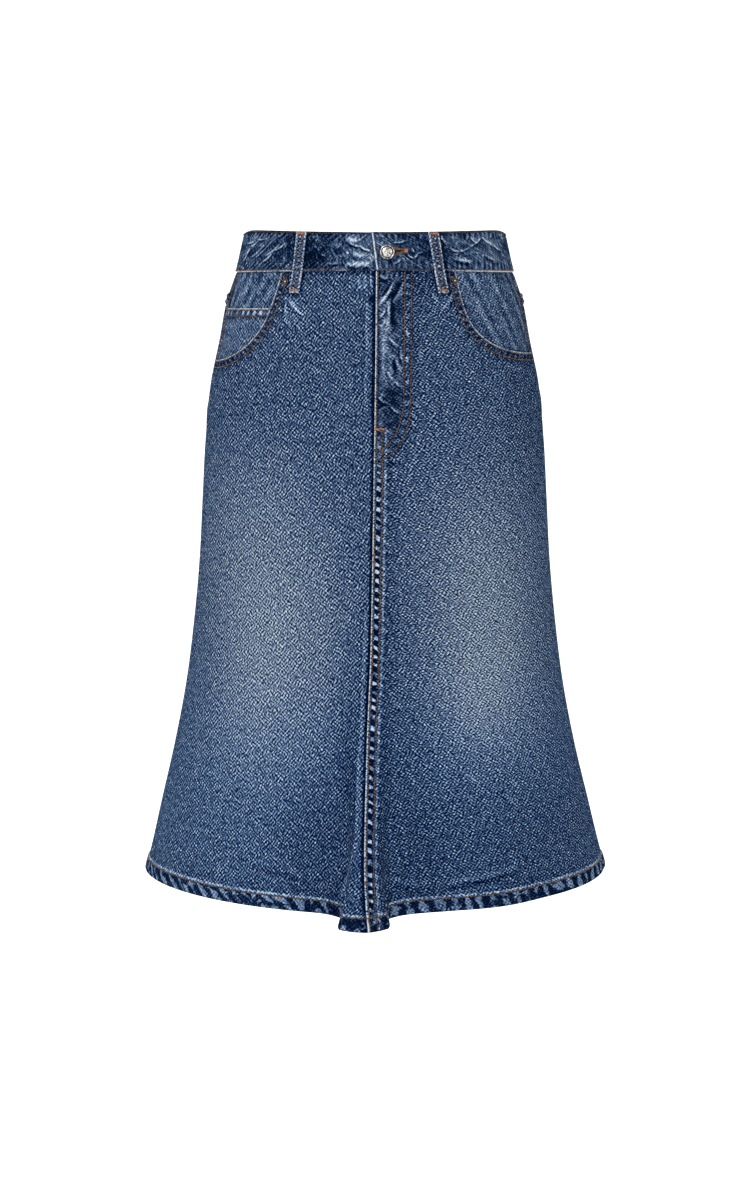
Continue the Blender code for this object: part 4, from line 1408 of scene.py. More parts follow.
def make_denim(name, coarse, lean):
    """Outer face of the denim: wash, marbling, puckers, creases and worn edges over the grain.
    coarse is how strongly the grain shows, and lean which way its flecks run, in degrees."""
    material, tree, shader = new_material(name)
    cloth = cloth_mm(tree)
    twill = placed_group(tree, TWILL, {"Cloth": cloth, "Lean": math.radians(lean)})
    worked = calc(tree, "MAXIMUM", mark_value(tree, "roped"), mark_value(tree, "puckered"))
    worked = calc(tree, "MAXIMUM", worked, mark_value(tree, "marble"), clamp=True)
    flattened = scaled(tree, worked, -0.55, coarse, clamp=True)
    grain = calc(tree, "MULTIPLY", twill["Grain"], flattened)
    marble = placed_group(tree, MARBLE, {"Cloth": cloth})
    bars = placed_group(
        tree, PUCKERS,
        {"Cloth": cloth, "Beat": mark_value(tree, "beat"), "Strength": mark_value(tree, "puckered"),
         "Roped": mark_value(tree, "roped")},
    )["Bars"]
    amount = mark_value(tree, "marble")
    crease = mark_value(tree, "crease")
    shade = scaled(tree, bars, 0.80, mark_value(tree, "fade"))
    clouds = calc(tree, "MULTIPLY", marble["Clouds"], amount)
    shade = scaled(tree, clouds, 0.32, shade)
    veins = calc(tree, "MULTIPLY", marble["Veins"], amount)
    shade = scaled(tree, veins, 1.35, shade)
    # Creases: pale worn crests, with painted shade on their lower sides.
    shade = scaled(tree, crease, 1.45, shade)
    line = ranged(tree, mark_value(tree, "edge"), 0.0009, 0.0020, 1.0, 0.0)
    worn = calc(tree, "MULTIPLY", line, mark_value(tree, "worn"))
    broken = ranged(tree, noise(tree, cloth, 0.25, 2.0), 0.30, 0.60, 0.55, 1.0)
    worn = calc(tree, "MULTIPLY", worn, broken)
    aged = scaled(tree, worn, 0.40, mark_value(tree, "aged"), clamp=True)
    colour = placed_group(
        tree, WASH, {"Shade": shade, "Grain": grain, "Worn": worn, "Aged": aged}
    )
    height = scaled(tree, bars, 0.9, twill["Height"])
    height = scaled(tree, veins, 1.0, height)
    fill_sockets(tree, shader, {
        "Base Color": colour["Colour"],
        "Normal": bumped(tree, 0.55, 0.00022, height),
        "Roughness": 0.92,
        "Specular IOR Level": 0.0,
    })
    return material


def make_wrong_side():
    """Inner face of the denim: the pale weft shows, with indigo specks."""
    material, tree, shader = new_material("denim_wrong_side")
    cloth = cloth_mm(tree)
    grain = placed_group(tree, TWILL, {"Cloth": cloth, "Lean": math.radians(60)})
    speck = ranged(tree, grain["Grain"], -0.9, 1.1)
    fade = ranged(tree, mark_value(tree, "fade"), 0.0, 1.0, 0.0, 0.35)
    low = mixed(tree, fade, rgb(86, 101, 124), rgb(118, 130, 146))
    high = mixed(tree, fade, rgb(164, 173, 184), rgb(186, 193, 199))
    fill_sockets(tree, shader, {
        "Base Color": mixed(tree, speck, low, high),
        "Normal": bumped(tree, 0.5, 0.0002, grain["Height"]),
        "Roughness": 0.95,
        "Specular IOR Level": 0.0,
    })
    return material


def make_thread(name, dark, pale):
    """Spun thread: colour that wanders from stitch to stitch, with twisted plies."""
    material, tree, shader = new_material(name)
    length = mark_value(tree, "length")
    shifting = node(
        tree, "TexNoise", {"W": calc(tree, "MULTIPLY", length, 0.43), "Scale": 1.0, "Detail": 2.0},
        noise_dimensions="1D",
    ).outputs["Fac"]
    plies = calc(tree, "SINE", calc(tree, "MULTIPLY", length, 40.0))
    share = scaled(tree, plies, 0.12, ranged(tree, shifting, 0.3, 0.7))
    fill_sockets(tree, shader, {
        "Base Color": mixed(tree, share, dark, pale),
        "Normal": bumped(tree, 0.4, 0.0001, plies),
        "Roughness": 0.65,
        "Specular IOR Level": 0.3,
    })
    return material


def make_metal(name, colour, dull, recess_and_highlight, rough, scratch):
    """Plated metal: faint tarnish clouds and fine rubbing marks, with a third colour laid by a mark
    of the mesh: dark in the button's recesses, and a pale painted highlight on the top of each
    rivet.
    """
    material, tree, shader = new_material(name)
    at = node(tree, "TexCoord").outputs["Object"]
    clouds = node(tree, "TexNoise", {"Vector": at, "Scale": 560.0, "Detail": 3.0}).outputs["Fac"]
    rub = node(tree, "TexNoise", {"Vector": at, "Scale": 2600.0, "Detail": 2.0}).outputs["Fac"]
    plate = mixed(tree, ranged(tree, clouds, 0.42, 0.60), colour, dull)
    plate = mixed(tree, mark_value(tree, "recess_and_highlight"), plate, recess_and_highlight)
    fill_sockets(tree, shader, {
        "Base Color": plate,
        "Roughness": ranged(tree, rub, 0.3, 0.7, rough, rough + scratch, soft=False),
        "Normal": bumped(tree, 0.15, 0.00005, rub),
        "Metallic": 1.0,
    })
    return material


BODY = next(iter(frame["bodies"]))
TWILL, MARBLE, PUCKERS, WASH = (
    make_twill_group(), make_marble_group(), make_pucker_group(), make_wash_group(),
)
CLOTH_FACES = {
    "right": make_denim("washed_denim_right", 1.0, 108),
    "left": make_denim("washed_denim_left", 1.0, 164),
}
BAND_DENIM = make_denim("dark_denim", 0.90, 60)
WRONG_SIDE = make_wrong_side()
BROWN_THREAD = make_thread("brown_thread", rgb(49, 36, 26), rgb(129, 92, 61))
TAN_THREAD = make_thread("tan_thread", rgb(112, 68, 38), rgb(196, 132, 84))
# The dark thread is the brown thread darkened: painted shade for the row under the waistband's
# rolled top edge. It also sews the band's end and its foot by the button.
DARK_THREAD = make_thread("dark_thread", rgb(24, 20, 22), rgb(70, 50, 40))
NICKEL = make_metal(
    "nickel", rgb(196, 193, 189, 1.0), rgb(92, 89, 87, 1.0), rgb(36, 35, 34, 1.0), 0.24, 0.20
)
# The gunmetal's third colour is the pale painted highlight on the top of each rivet.
GUNMETAL = make_metal(
    "gunmetal", rgb(26, 23, 22, 1.0), rgb(14, 13, 12, 1.0), rgb(190, 182, 166, 1.0), 0.32, 0.20
)

# ---------------------------------------------------------------- panels

# Where the rows of a panel's grid lie: below its top, and above the hem's edge.
TOP_DROPS = np.array([0.0, 0.0003, 0.0007, 0.0012, 0.0019, 0.0028, 0.0040, 0.0056, 0.0076])
HEM_ABOVE = np.array(
    [0.0200, 0.0184, 0.0172, 0.0163, 0.0155, 0.0148, 0.0141, 0.0135, 0.0129, 0.0121, 0.0110,
     0.0096, 0.0080, 0.0064, 0.0048, 0.0034, 0.0023, 0.0014, 0.0008, 0.0003, 0.0]
)
FIRST_STEP = 0.002  # from the last close row to the first even one
FAN_OUT = 0.35  # share of the length over which the columns fan out
CLOSE_DROP = 0.160  # down to here a front's rows are closer
WALL_SHARES = np.linspace(0.0, 1.0, 17)  # across the flute's wall
FRONT_ROWS, BACK_ROWS = 264, 188
# Columns from the flute to a pocket, along its opening, and across a back panel.
BRIDGE_COLUMNS, POCKET_COLUMNS, BACK_COLUMNS = 24, 58, 104
LAP_STEP = 0.0011  # between the rows of a lap's grid


def panel_grid(tops, angles_at, field_rows, close=1.0):
    """Angles and heights of a panel's grid: close rows below its top, even rows down the panel and
    close rows at the hem.  tops are the columns' upper ends, and above the fly's foot the even rows
    lie closer to each other than below it by the factor close."""
    angles, heights = [], []
    length = float(np.mean(tops)) - HEM_EDGE["front"] - HEM_ZONE
    even = np.linspace(TOP_DROPS[-1] / length, 1.0, 2000)
    density = 1.0 + (close - 1.0) * (1.0 - smooth((even * length - CLOSE_DROP) / 0.030))
    passed = np.concatenate([[0.0], np.cumsum(density[:-1])])
    shares = np.interp(np.linspace(0.0, passed[-1], field_rows + 1), passed, even)[1:-1]
    for drop in TOP_DROPS:
        angles.append(angles_at(drop / length))
        heights.append(tops - drop)
    for share in shares:
        row = angles_at(share)
        foot = hem_height(row) + HEM_ZONE
        angles.append(row)
        part = (share - shares[0]) / (1.0 - shares[0])
        start = tops - TOP_DROPS[-1]
        heights.append(start + (foot - start) * part - FIRST_STEP * (1.0 - part))
    for above in HEM_ABOVE:
        row = angles_at(1.0)
        angles.append(row)
        heights.append(hem_height(row) + above)
    return np.array(angles), np.array(heights)


def front_grid(side):
    """A front panel's grid: columns follow the flute near the seam, then the pocket's opening at
    the top, and fan out evenly further down."""
    hand = HAND[side]
    pocket_start = math.radians(POCKETS[side]["angle"])
    pocket_angles, pocket_drops = pocket_edge(side, POCKET_COLUMNS)

    def angles_at(share):
        height = panel_top(0.0) + (hem_height(0.0) - panel_top(0.0)) * share
        face, turn = float(flute("face_" + side, height)), float(flute("turn", height))
        if side == "left":
            near = LAP_WIDTH + np.array([0.0, 0.0006, 0.0012, 0.0019, 0.0027])
            near = np.concatenate([near, near[-1] + (face - near[-1]) * np.array([0.5])])
        else:
            near = np.linspace(SEAM_GAP - LAP_WIDTH, 0.0, 5)
            near = np.concatenate([near, [0.0006, 0.0012, 0.0018, 0.0025]])
            near = np.concatenate([near, near[-1] + (face - near[-1]) * np.linspace(0, 1, 8)[1:-1]])
        wall = face + turn * WALL_SHARES
        recover = wall[-1] + np.linspace(0.0, 0.016, 12)[1:]
        inside = angle_at(np.concatenate([near, wall, recover]), height)
        spread_out = np.concatenate(
            [np.linspace(inside[-1], pocket_start, BRIDGE_COLUMNS + 1)[1:], pocket_angles[1:]]
        )
        even = np.linspace(inside[-1], SIDE_SEAM, len(spread_out) + 1)[1:]
        outside = spread_out + (even - spread_out) * smooth(share / FAN_OUT)
        outside[-1] -= float(angle_for_width(0.5 * SEAM_GAP, SIDE_SEAM, height))
        return hand * np.concatenate([inside, outside])[::hand]

    columns = angles_at(0.0)
    drops = np.zeros(len(columns))
    drops[-POCKET_COLUMNS:] = pocket_drops[1:]
    return panel_grid(panel_top(columns) - drops[::hand], angles_at, FRONT_ROWS, 2.6)


def lap_grid(centre):
    """The upper cloth of a lapped seam at centre front (0) or back (pi) as its own close grid,
    from its fold to its width."""
    distances = np.array(
        [0.0, 0.0002, 0.0005, 0.0009, 0.0014, 0.0020, 0.0027, 0.0036, 0.0046, 0.0056, 0.0066,
         0.0075, 0.0082, 0.0088, LAP_WIDTH]
    )
    top, foot = float(panel_top(centre)), float(hem_height(centre))
    down = np.linspace(top, foot + HEM_ZONE, int((top - foot - HEM_ZONE) / LAP_STEP) + 1)
    heights = np.concatenate([down, foot + HEM_ABOVE[1:]])[:, None]
    angles = angle_at(distances[None, :], heights)
    if centre:
        angles = (centre - angles)[:, ::-1]
    low = smooth((top - heights) / (top - foot))
    return angles, heights + (hem_height(angles) - foot) * low


def back_grid(side, field_rows):
    """A back panel's grid: even columns, a little closer at both seams."""
    hand = HAND[side]

    def angles_at(share):
        height = yoke_foot(math.pi) + (HEM_EDGE["back"] - yoke_foot(math.pi)) * share
        start = SIDE_SEAM + float(angle_for_width(0.5 * SEAM_GAP, SIDE_SEAM, height))
        end = math.pi + float(angle_for_width(BACK_UNDERLAP, math.pi, height))
        if side == "left":
            end = math.pi - float(angle_at(LAP_WIDTH, height))
        t = np.linspace(0.0, 1.0, BACK_COLUMNS + 1)
        t = t - 0.10 * np.sin(2 * math.pi * t) / (2 * math.pi)
        return hand * (start + (end - start) * t)[::hand]

    tops = yoke_foot(angles_at(0.0)) + YOKE_OVERLAP
    return panel_grid(tops, angles_at, field_rows)


for side in ("right", "left"):
    skins = [CLOTH_FACES[side], WRONG_SIDE]
    grids = [grid(*front_grid(side), front_look, side)]
    if side == "left":
        grids.append(grid(*lap_grid(0.0), front_look, side))
    cloth_piece("front_panel_" + side, "front_" + side, grids, skins,
                math.radians(38) * HAND[side])

    grids = [grid(*back_grid(side, BACK_ROWS), back_look, side)]
    if side == "left":
        angles, heights = lap_grid(math.pi)
        lap = back_lap_look(angles, heights)
        on_yoke = heights > yoke_foot(math.pi)
        look, upper = back_look(side, angles, heights), yoke_look(side, angles, heights)
        for key in look:
            look[key] = np.where(on_yoke, upper[key], look[key])
        look.update({key: lap[key] for key in ("lift", "edge", "worn", "beat", "puckered")})
        look["thick"] = np.minimum(lap["thick"], CLOTH)
        grids.append((angles, heights, look))
    map_from = math.radians(140) * HAND[side]
    cloth_piece("back_panel_" + side, "back_" + side, grids, skins, map_from)

    angles = back_grid(side, 3)[0][0]
    share = np.concatenate([np.linspace(0, 0.02, 4)[:-1], np.linspace(0.02, 0.70, 22)[:-1],
                            np.linspace(0.70, 1.0, 22)])[:, None]
    heights = panel_top(angles) + (yoke_foot(angles) - panel_top(angles)) * share
    cloth_piece("back_yoke_" + side, "yoke_" + side,
                [grid(angles, heights, yoke_look, side)], skins, map_from)


def band_lift(angle):
    """Lift of the waistband's outer face, whose upper end lies over the centre lap."""
    return BAND_LIFT + LAP_LIFT * (1.0 - smooth(angle / BAND_SETTLE))


BAND_END = 2.0 * math.pi + BAND_UNDERLAP


def band_top(angle):
    """Top edge of the waistband, which rolls over a little at both sides."""
    turned = np.abs(wrapped(angle))
    return edge_height(BAND_TOP, angle) - BAND_ROLL * bell(turned - 0.5 * math.pi, BAND_ROLL_ANGLE)


def band_stop_at(down):
    """How far beside centre front the band's upper end lies, at a share of its height down."""
    return BAND_END_TOP + (BAND_END_FOOT - BAND_END_TOP) * down


def band_place(along, down):
    """Angle and height of a point of the waistband, from its share along and down the strip."""
    middle = BAND_TOP["front"] + (WAIST_SEAM["front"] - BAND_TOP["front"]) * down
    start = angle_at(band_stop_at(down), middle)
    angles = start + (BAND_END - start) * along
    top, foot = band_top(angles), edge_height(WAIST_SEAM, angles)
    return angles, top + (foot - top) * down


# The buttonhole: its ends beside centre front, its height at the first and its rise to the second.
HOLE_FROM, HOLE_TO, HOLE_HEIGHT, HOLE_RISE = 0.0185, 0.0292, -0.0031, 0.0010


def hole_share(across):
    """How far along the buttonhole a point lies: 0 by the button and 1 at the far end."""
    return np.clip((across - HOLE_FROM) / (HOLE_TO - HOLE_FROM), 0.0, 1.0)


def hole_half(across):
    """Half the height of the buttonhole, which the button's shank pulls open into a wedge."""
    return 0.0029 - 0.0019 * hole_share(across)


def band_look(angle, height):
    """The waistband: two folded layers with puckers along both rows of stitches."""
    angle, height, look = plain(angle, height)
    turned = wrapped(angle)
    top, foot = band_top(angle), edge_height(WAIST_SEAM, angle)
    below_top, above_foot = top - height, height - foot
    down = below_top / (top - foot)
    stop = band_stop_at(down)
    from_end = np.where(
        angle < 1.0, section("half_width", height) * np.sin(np.minimum(angle, 1.0)) - stop, FAR
    )
    run = girth(angle, height)
    beneath = band_lift(angle - 2.0 * math.pi) - BAND_CLOTH - LAYER_GAP
    dived = smooth((angle - (2.0 * math.pi - BAND_DIVE - BAND_DIVE_END)) / BAND_DIVE)
    look["lift"] += band_lift(np.maximum(angle, -0.1)) * (1.0 - dived) + beneath * dived
    look["thick"] += BAND_CLOTH - CLOTH
    under_loop = np.zeros(angle.shape)
    for degrees in LOOP_ANGLES.values():
        away = np.abs(np.degrees(wrapped(angle - math.radians(degrees))))
        under_loop = np.maximum(under_loop, between(away, -9.0, 3.0, 1.5))
    calm = 1.0 - 0.7 * under_loop
    look["lift"] += 0.0004 * np.sin(math.pi * np.clip(down, 0, 1)) * calm
    for distance in (below_top, above_foot, from_end):
        roll_edge(look, distance, 0.0014, 0.0009)
    stitch_groove(look, below_top - BAND_TOP_ROW)
    stitch_groove(look, above_foot - BAND_FOOT_ROW)
    stitch_groove(look, from_end - BAND_END_ROW)
    fuller = 0.5 + 0.5 * np.abs(np.sin(turned))
    window = between(below_top, BAND_TOP_ROW + 0.0004, 0.0085, 0.0030) * fuller
    pucker(look, uneven(run, 0.0060) - below_top / 0.045, 0.80 * window, 0.00022)
    window = between(above_foot, BAND_FOOT_ROW + 0.0004, 0.0100, 0.0040) * fuller
    pucker(look, uneven(run + 0.002, 0.0064) + above_foot / 0.040, 0.80 * window, 0.00025)
    outer_part = smooth((np.abs(turned) - math.radians(26)) / math.radians(12))
    worn_foot = 0.20 + 0.75 * outer_part + 0.12 * np.sin(run / 0.021)
    wear(look, 1.25 * np.abs(above_foot), 1.6 * worn_foot)
    wear(look, 0.95 * np.abs(from_end), 1.6)
    look["fade"] = np.interp(np.degrees(turned), *np.transpose(BAND_WASH))
    # Painted shade along the top edge, where it rolls over.
    look["fade"] -= 0.45 * bell(below_top - 0.0005, 0.0022)
    # Painted contact shadow under and beside the belt loops.
    look["fade"] -= 0.55 * loop_contact_shadow(turned, height)
    look["marble"] += 1.2 - 0.6 * under_loop
    look["aged"] += 0.45
    # Painted shade in the buttonhole's open slit.
    level = HOLE_HEIGHT + HOLE_RISE * hole_share(from_end + stop)
    slit = 1.0 - smooth((np.abs(height - level) - hole_half(from_end + stop)) / 0.0006)
    look["fade"] -= 1.10 * slit * between(from_end + stop, HOLE_FROM - 0.004, HOLE_TO, 0.0010)
    add_creases(look, turned, height, BAND_CREASES, BAND_CREST)
    return look


along = np.concatenate(
    [[0.0, 0.0003, 0.0007, 0.0012, 0.0018], np.linspace(0.0026, 0.25, 290),
     np.linspace(0.25, 0.72, 290)[1:-1], np.linspace(0.72, 1.0, 330)]
)
down = np.concatenate(
    [[0.0, 0.010, 0.025, 0.045], np.linspace(0.065, 0.93, 38), [0.95, 0.972, 0.988, 1.0]]
)
cloth_piece("waistband_strip", "waistband",
            [grid(*band_place(along[None, :], down[:, None]), band_look)],
            [BAND_DENIM, BAND_DENIM], math.pi)


def pocket_edge_shadow(side, angle, height):
    """Painted shadow that the opening's edge casts on the cloth in a pocket: 1 on the edge, 0 away
    from it.
    """
    here = np.stack([HAND[side] * girth(angle, height), height], axis=-1)
    return bell(from_line(here, pocket_line(side))[0], 0.0017)


def facing_look(side, angle, height):
    """The cloth inside a pocket's opening.  The right one lies one layer deeper, under the coin
    pocket, and comes out to the waist seam at its top."""
    angle, height, look = plain(angle, height)
    look["lift"] += -(CLOTH + UNDER_GAP) - (CLOTH + LAYER_GAP if side == "right" else 0.0)
    from_side = (SIDE_SEAM - np.abs(angle)) * POCKET_RADIUS
    below_waist = panel_top(angle) - height
    if side == "right":
        look["lift"] += (CLOTH + LAYER_GAP) * (1.0 - smooth((below_waist - 0.006) / 0.018))
    look["lift"] -= 0.0005 * bell(np.maximum(below_waist, 0.0), 0.0022)
    look["lift"] -= 0.0010 * smooth(-below_waist / 0.0013)
    wear(look, np.abs(from_side - 0.0010) + 0.0005, 0.30)
    run = girth(angle, height)
    window = 0.4 * between(below_waist, 0.0008, 0.008, 0.004)
    pucker(look, uneven(run, 0.0050), window, 0.00015)
    streaks = np.sin(run / 0.0024 * HAND[side] + height / 0.0036)
    streaks *= np.sin(run / 0.0091 + height / 0.021 + 1.0)
    # Painted shadow of the opening's edge darkens the cloth beside it.
    look["fade"] += 0.29 + 0.50 * streaks - 0.65 * pocket_edge_shadow(side, angle, height)
    look["aged"] += 0.25
    look["marble"] += 0.60 + 0.40 * bell(below_waist, 0.012)
    return look


def coin_look(angle, height):
    """The coin pocket: a folded, double-stitched upper edge, worn pale."""
    angle, height, look = plain(angle, height)
    look["lift"] -= CLOTH + UNDER_GAP
    from_top = panel_top(angle) - COIN_POCKET_TOP - height
    rows_apart = sew_edge(look, from_top, girth(angle, height), 0.0090, 0.022, 1.1, 0.00025)
    wear(look, 0.80 * np.abs(from_top), 1.35)
    look["lift"] += 0.0004 * (1.0 - smooth((from_top - SECOND_ROW + 0.001) / 0.003))
    # Paler between the rows, and painted shadow just below the second row.
    look["fade"] += 0.30 * rows_apart - 0.40 * bell(from_top - SECOND_ROW - 0.0022, 0.0016)
    from_side = (SIDE_SEAM - np.abs(angle)) * POCKET_RADIUS
    wear(look, np.abs(from_side - 0.0014) + 0.0003, 0.45)
    # Painted shadow of the opening's edge darkens the cloth beside it.
    look["fade"] += 0.34 - 0.65 * pocket_edge_shadow("right", angle, height)
    look["aged"] += 0.25
    look["marble"] += 0.60
    return look


def shield_look(angle, height):
    """The shield behind the fly's slit."""
    look = plain(angle, height)[2]
    look["lift"] -= CLOTH + UNDER_GAP
    look["marble"] += 0.4
    return look


for side in ("right", "left"):
    hand = HAND[side]
    start = math.radians(POCKETS[side]["angle"]) - POCKET_UNDERCUT
    angles = hand * np.linspace(start, SIDE_SEAM + POCKET_UNDERCUT, 84)[::hand]
    drops = np.concatenate([[-0.0064, -0.0045, -0.0026, -0.0013], np.linspace(0.0, 0.010, 8)[:-1],
                            np.linspace(0.010, POCKET_FACING_DROP, 62)])
    heights = panel_top(angles) - drops[:, None]
    cloth_piece("pocket_cloth_" + side, "pocket_facing_" + side,
                [grid(angles, heights, facing_look, side)],
                [CLOTH_FACES[side], WRONG_SIDE], hand * math.radians(60))

start = math.radians(POCKETS["right"]["angle"]) - 0.6 * POCKET_UNDERCUT
angles = -np.linspace(start, SIDE_SEAM - 0.5 * math.radians(1), 90)[::-1]
drops = COIN_POCKET_TOP + np.concatenate(
    [[0.0, 0.0003, 0.0007], np.linspace(0.0012, 0.012, 16)[:-1],
     np.linspace(0.012, COIN_POCKET_FOOT - COIN_POCKET_TOP, 38)]
)
heights = panel_top(angles) - drops[:, None]
cloth_piece("small_pocket", "coin_pocket", [grid(angles, heights, coin_look)],
            [CLOTH_FACES["right"], WRONG_SIDE], -math.radians(62))

drops = FLY_LENGTH * np.linspace(0.0, 1.0, 90)
curve = np.clip((drops - (FLY_LENGTH - FLY_CURVE)) / FLY_CURVE, 0.0, 1.0)
far = FLY_TAIL + (FLY_WIDTH - FLY_TAIL) * np.sqrt(1.0 - curve**2)
across = -FLY_UNDER + (far[:, None] + FLY_UNDER) * np.linspace(0.0, 1.0, 26)[None, :]
heights = panel_top(0.0) - drops[:, None]
angles = angle_at(across, heights)
cloth_piece("fly_guard", "fly_shield", [grid(angles, heights, shield_look)],
            [CLOTH_FACES["right"]] * 2)

# ---------------------------------------------------------------- belt loops


def loop_sides(angle, height):
    """Inner and outer lift of a belt loop at a height: level on the band, bowed over the waist
    seam, and down to the panel at its folded foot."""
    top = float(edge_height(BAND_TOP, angle)) - SEAM_GAP
    seam = float(edge_height(WAIST_SEAM, angle))
    on_band = BAND_LIFT + LAYER_GAP
    knots = np.array(
        [top, top - LOOP_TACK, 0.5 * (top + seam), seam, LOOP_FOOT + 1.6 * LOOP_TACK,
         LOOP_FOOT + LOOP_TACK, LOOP_FOOT]
    )[::-1]
    under = np.array(
        [on_band, on_band, on_band + 0.0006, on_band + 0.0002, LAYER_GAP + 0.0004, LAYER_GAP,
         LAYER_GAP]
    )[::-1]
    over = under + LOOP_CLOTH * np.array([1.0, 1.0, 1.0, 1.0, 1.13, 1.6, 1.4])[::-1]
    shifts = np.linspace(-0.003, 0.003, 7)
    under, over = (
        sum(np.interp(height + shift, knots, lifts) for shift in shifts) / len(shifts)
        for lifts in (under, over)
    )
    return under, over


def loop_line(place_name, height):
    """The angle of a belt loop's middle at each height."""
    middle = math.radians(LOOP_ANGLES[place_name])
    lean = LOOP_LEANS.get(place_name, 0.0) * (height - LOOP_FOOT) / (BAND_TOP["front"] - LOOP_FOOT)
    return middle + lean * angle_for_width(1.0, middle, height)


def loop_look(place_name, angle, height):
    """A belt loop: folded long edges worn pale, two rows of stitches and a ridge between them."""
    angle, height, look = plain(angle, height)
    middle = math.radians(LOOP_ANGLES[place_name])
    under, over = loop_sides(middle, height)
    half = 0.5 * angle_for_width(LOOP_WIDTH, middle, height)
    inside = 0.5 * LOOP_WIDTH * (1.0 - np.abs(angle - loop_line(place_name, height)) / half)
    look["lift"] = over.copy()
    look["thick"] = over - under
    roll_edge(look, inside, 0.0009, 0.0006)
    top = edge_height(BAND_TOP, middle) - SEAM_GAP
    for distance in (top - height, height - LOOP_FOOT):
        roll_edge(look, distance, 0.0009, 0.0006)
    stitch_groove(look, inside - LOOP_ROW)
    look["lift"] += 0.00018 * bell(inside - 0.5 * LOOP_WIDTH, 0.0016)
    tacks = bell(height - top + 0.0022, 0.0016) + bell(height - LOOP_FOOT - 0.0026, 0.0016)
    look["lift"] -= 0.0003 * tacks
    wear(look, np.abs(inside - 0.0004), 0.75 + 0.2 * np.sin(height / 0.006))
    wear(look, np.abs(height - LOOP_FOOT - 0.0006), 1.20)
    look["fade"] += 0.50 - WASH_BASE - washed(angle, height)
    middle_part = between(inside, LOOP_ROW + 0.0002, 0.006, 0.0010)
    pucker(look, uneven(height, 0.0052), 0.55 * middle_part, 0.00008)
    look["marble"] += 0.30
    return look


for place_name, degrees in LOOP_ANGLES.items():
    middle = math.radians(degrees)
    top = float(edge_height(BAND_TOP, middle)) - SEAM_GAP
    rows = np.concatenate([[top, top - 0.0003, top - 0.0008],
                           np.linspace(top - 0.0014, LOOP_FOOT + 0.0014, 84),
                           [LOOP_FOOT + 0.0008, LOOP_FOOT + 0.0003, LOOP_FOOT]])[:, None]
    half = 0.5 * angle_for_width(LOOP_WIDTH, middle, rows)
    spread = np.array([-1.0, -0.96, -0.90, -0.80, -0.68, -0.55, -0.42, -0.28, -0.14])
    spread = np.concatenate([spread, [0.0], -spread[::-1]])
    angles = loop_line(place_name, rows) + half * spread[None, :]
    cloth_piece("loop_" + place_name, "belt_loop_" + place_name,
                [grid(angles, rows, loop_look, place_name)],
                [CLOTH_FACES["left"]] * 2, middle - 0.3)

# ---------------------------------------------------------------- stitches

SEWN = {}


def sew(group, *rows):
    SEWN.setdefault(group, []).extend(rows)


def lift_at(look, *given):
    """A look's lift at one point, whose angle and height come last."""
    *given, angle, height = given
    return float(look(*given, np.array([angle]), np.array([height]))["lift"][0])


def row_top(angle):
    """Height at which a row of stitches comes out from under the waistband."""
    return float(panel_top(angle)) - 0.001


def row_foot(angle):
    """Height at which a row of stitches ends above the hem's edge."""
    return float(hem_height(angle)) + 0.0012


# Centre front: the edge row all the way down, and the second row below the fly.
for row, top in ((LAP_ROWS[0], row_top(0.0)), (LAP_ROWS[1], BAR_TACK)):
    heights = np.linspace(top, row_foot(0.0), 900)
    sew("centre_stitches", sewn_row(angle_at(row, heights), heights, front_look, "left"))
for row in FLY_ROWS:
    table = dict(zip(FLY_ROW_COLUMNS, row))
    straight = np.linspace(row_top(0.0), table["curve_from"], 200)[:-1]
    turn = np.linspace(0.0, 0.5 * math.pi - 0.05, 120)
    drop = table["curve_from"] - table["foot"]
    heights = np.concatenate([straight, table["curve_from"] - drop * np.sin(turn)])
    across = table["width"] * np.concatenate([np.ones(len(straight)), np.cos(turn)])
    sew("fly_stitches", sewn_row(angle_at(across, heights), heights, front_look, "left"))
bar_angle = float(angle_at(0.0056, BAR_TACK))
bar_lift = lift_at(front_look, "left", bar_angle, BAR_TACK) + 0.5 * THREAD + 0.0003
sew("bar_tacks", tack(bar_angle, BAR_TACK + 0.0008, 0.0105, 0.0020, bar_lift, 14))

# Pockets: two rows along each opening.
for side in ("right", "left"):
    hand = HAND[side]
    line = pocket_line(side, 300)
    for row in (EDGE_ROW, SECOND_ROW):
        path = beside(line, -row)
        keep = (path[:, 0] > 0) & (path[:, 1] < row_top(0.6))
        keep &= path[:, 0] < hand * girth(hand * SIDE_SEAM, path[:, 1]) - 0.0006
        path = path[keep]
        # Girth back to angle: a first guess, then steps by what is still missed.
        angles = path[:, 0] / 0.16
        for _ in range(12):
            miss = hand * girth(hand * angles, path[:, 1]) - path[:, 0]
            angles = angles - miss * angle_for_width(1.0, hand * angles, path[:, 1])
        sew("pocket_stitches", sewn_row(hand * angles, path[:, 1], front_look, side))

# Coin pocket.
coin_angles = -np.linspace(math.radians(POCKETS["right"]["angle"]) + 0.01, SIDE_SEAM - 0.012, 200)
for row in (EDGE_ROW, SECOND_ROW):
    heights = panel_top(coin_angles) - COIN_POCKET_TOP - row
    sew("pocket_stitches", sewn_row(coin_angles, heights, coin_look))

# Side seams beside the pockets.
for side in ("right", "left"):
    hand = HAND[side]
    pocket_foot = float(panel_top(SIDE_SEAM)) - POCKETS[side]["drop"]
    heights = np.linspace(row_top(SIDE_SEAM), pocket_foot + 0.001, 160)
    angles = hand * (SIDE_SEAM - angle_for_width(SIDE_ROW, SIDE_SEAM, heights))
    upper = (coin_look,) if side == "right" else (facing_look, side)
    sew("side_stitches", sewn_row(angles, heights, *upper))

# Hem: one row all round.
angles = np.linspace(-math.pi + 0.001, math.pi - 0.001, 3600)
heights = hem_height(angles) + HEM_ROW


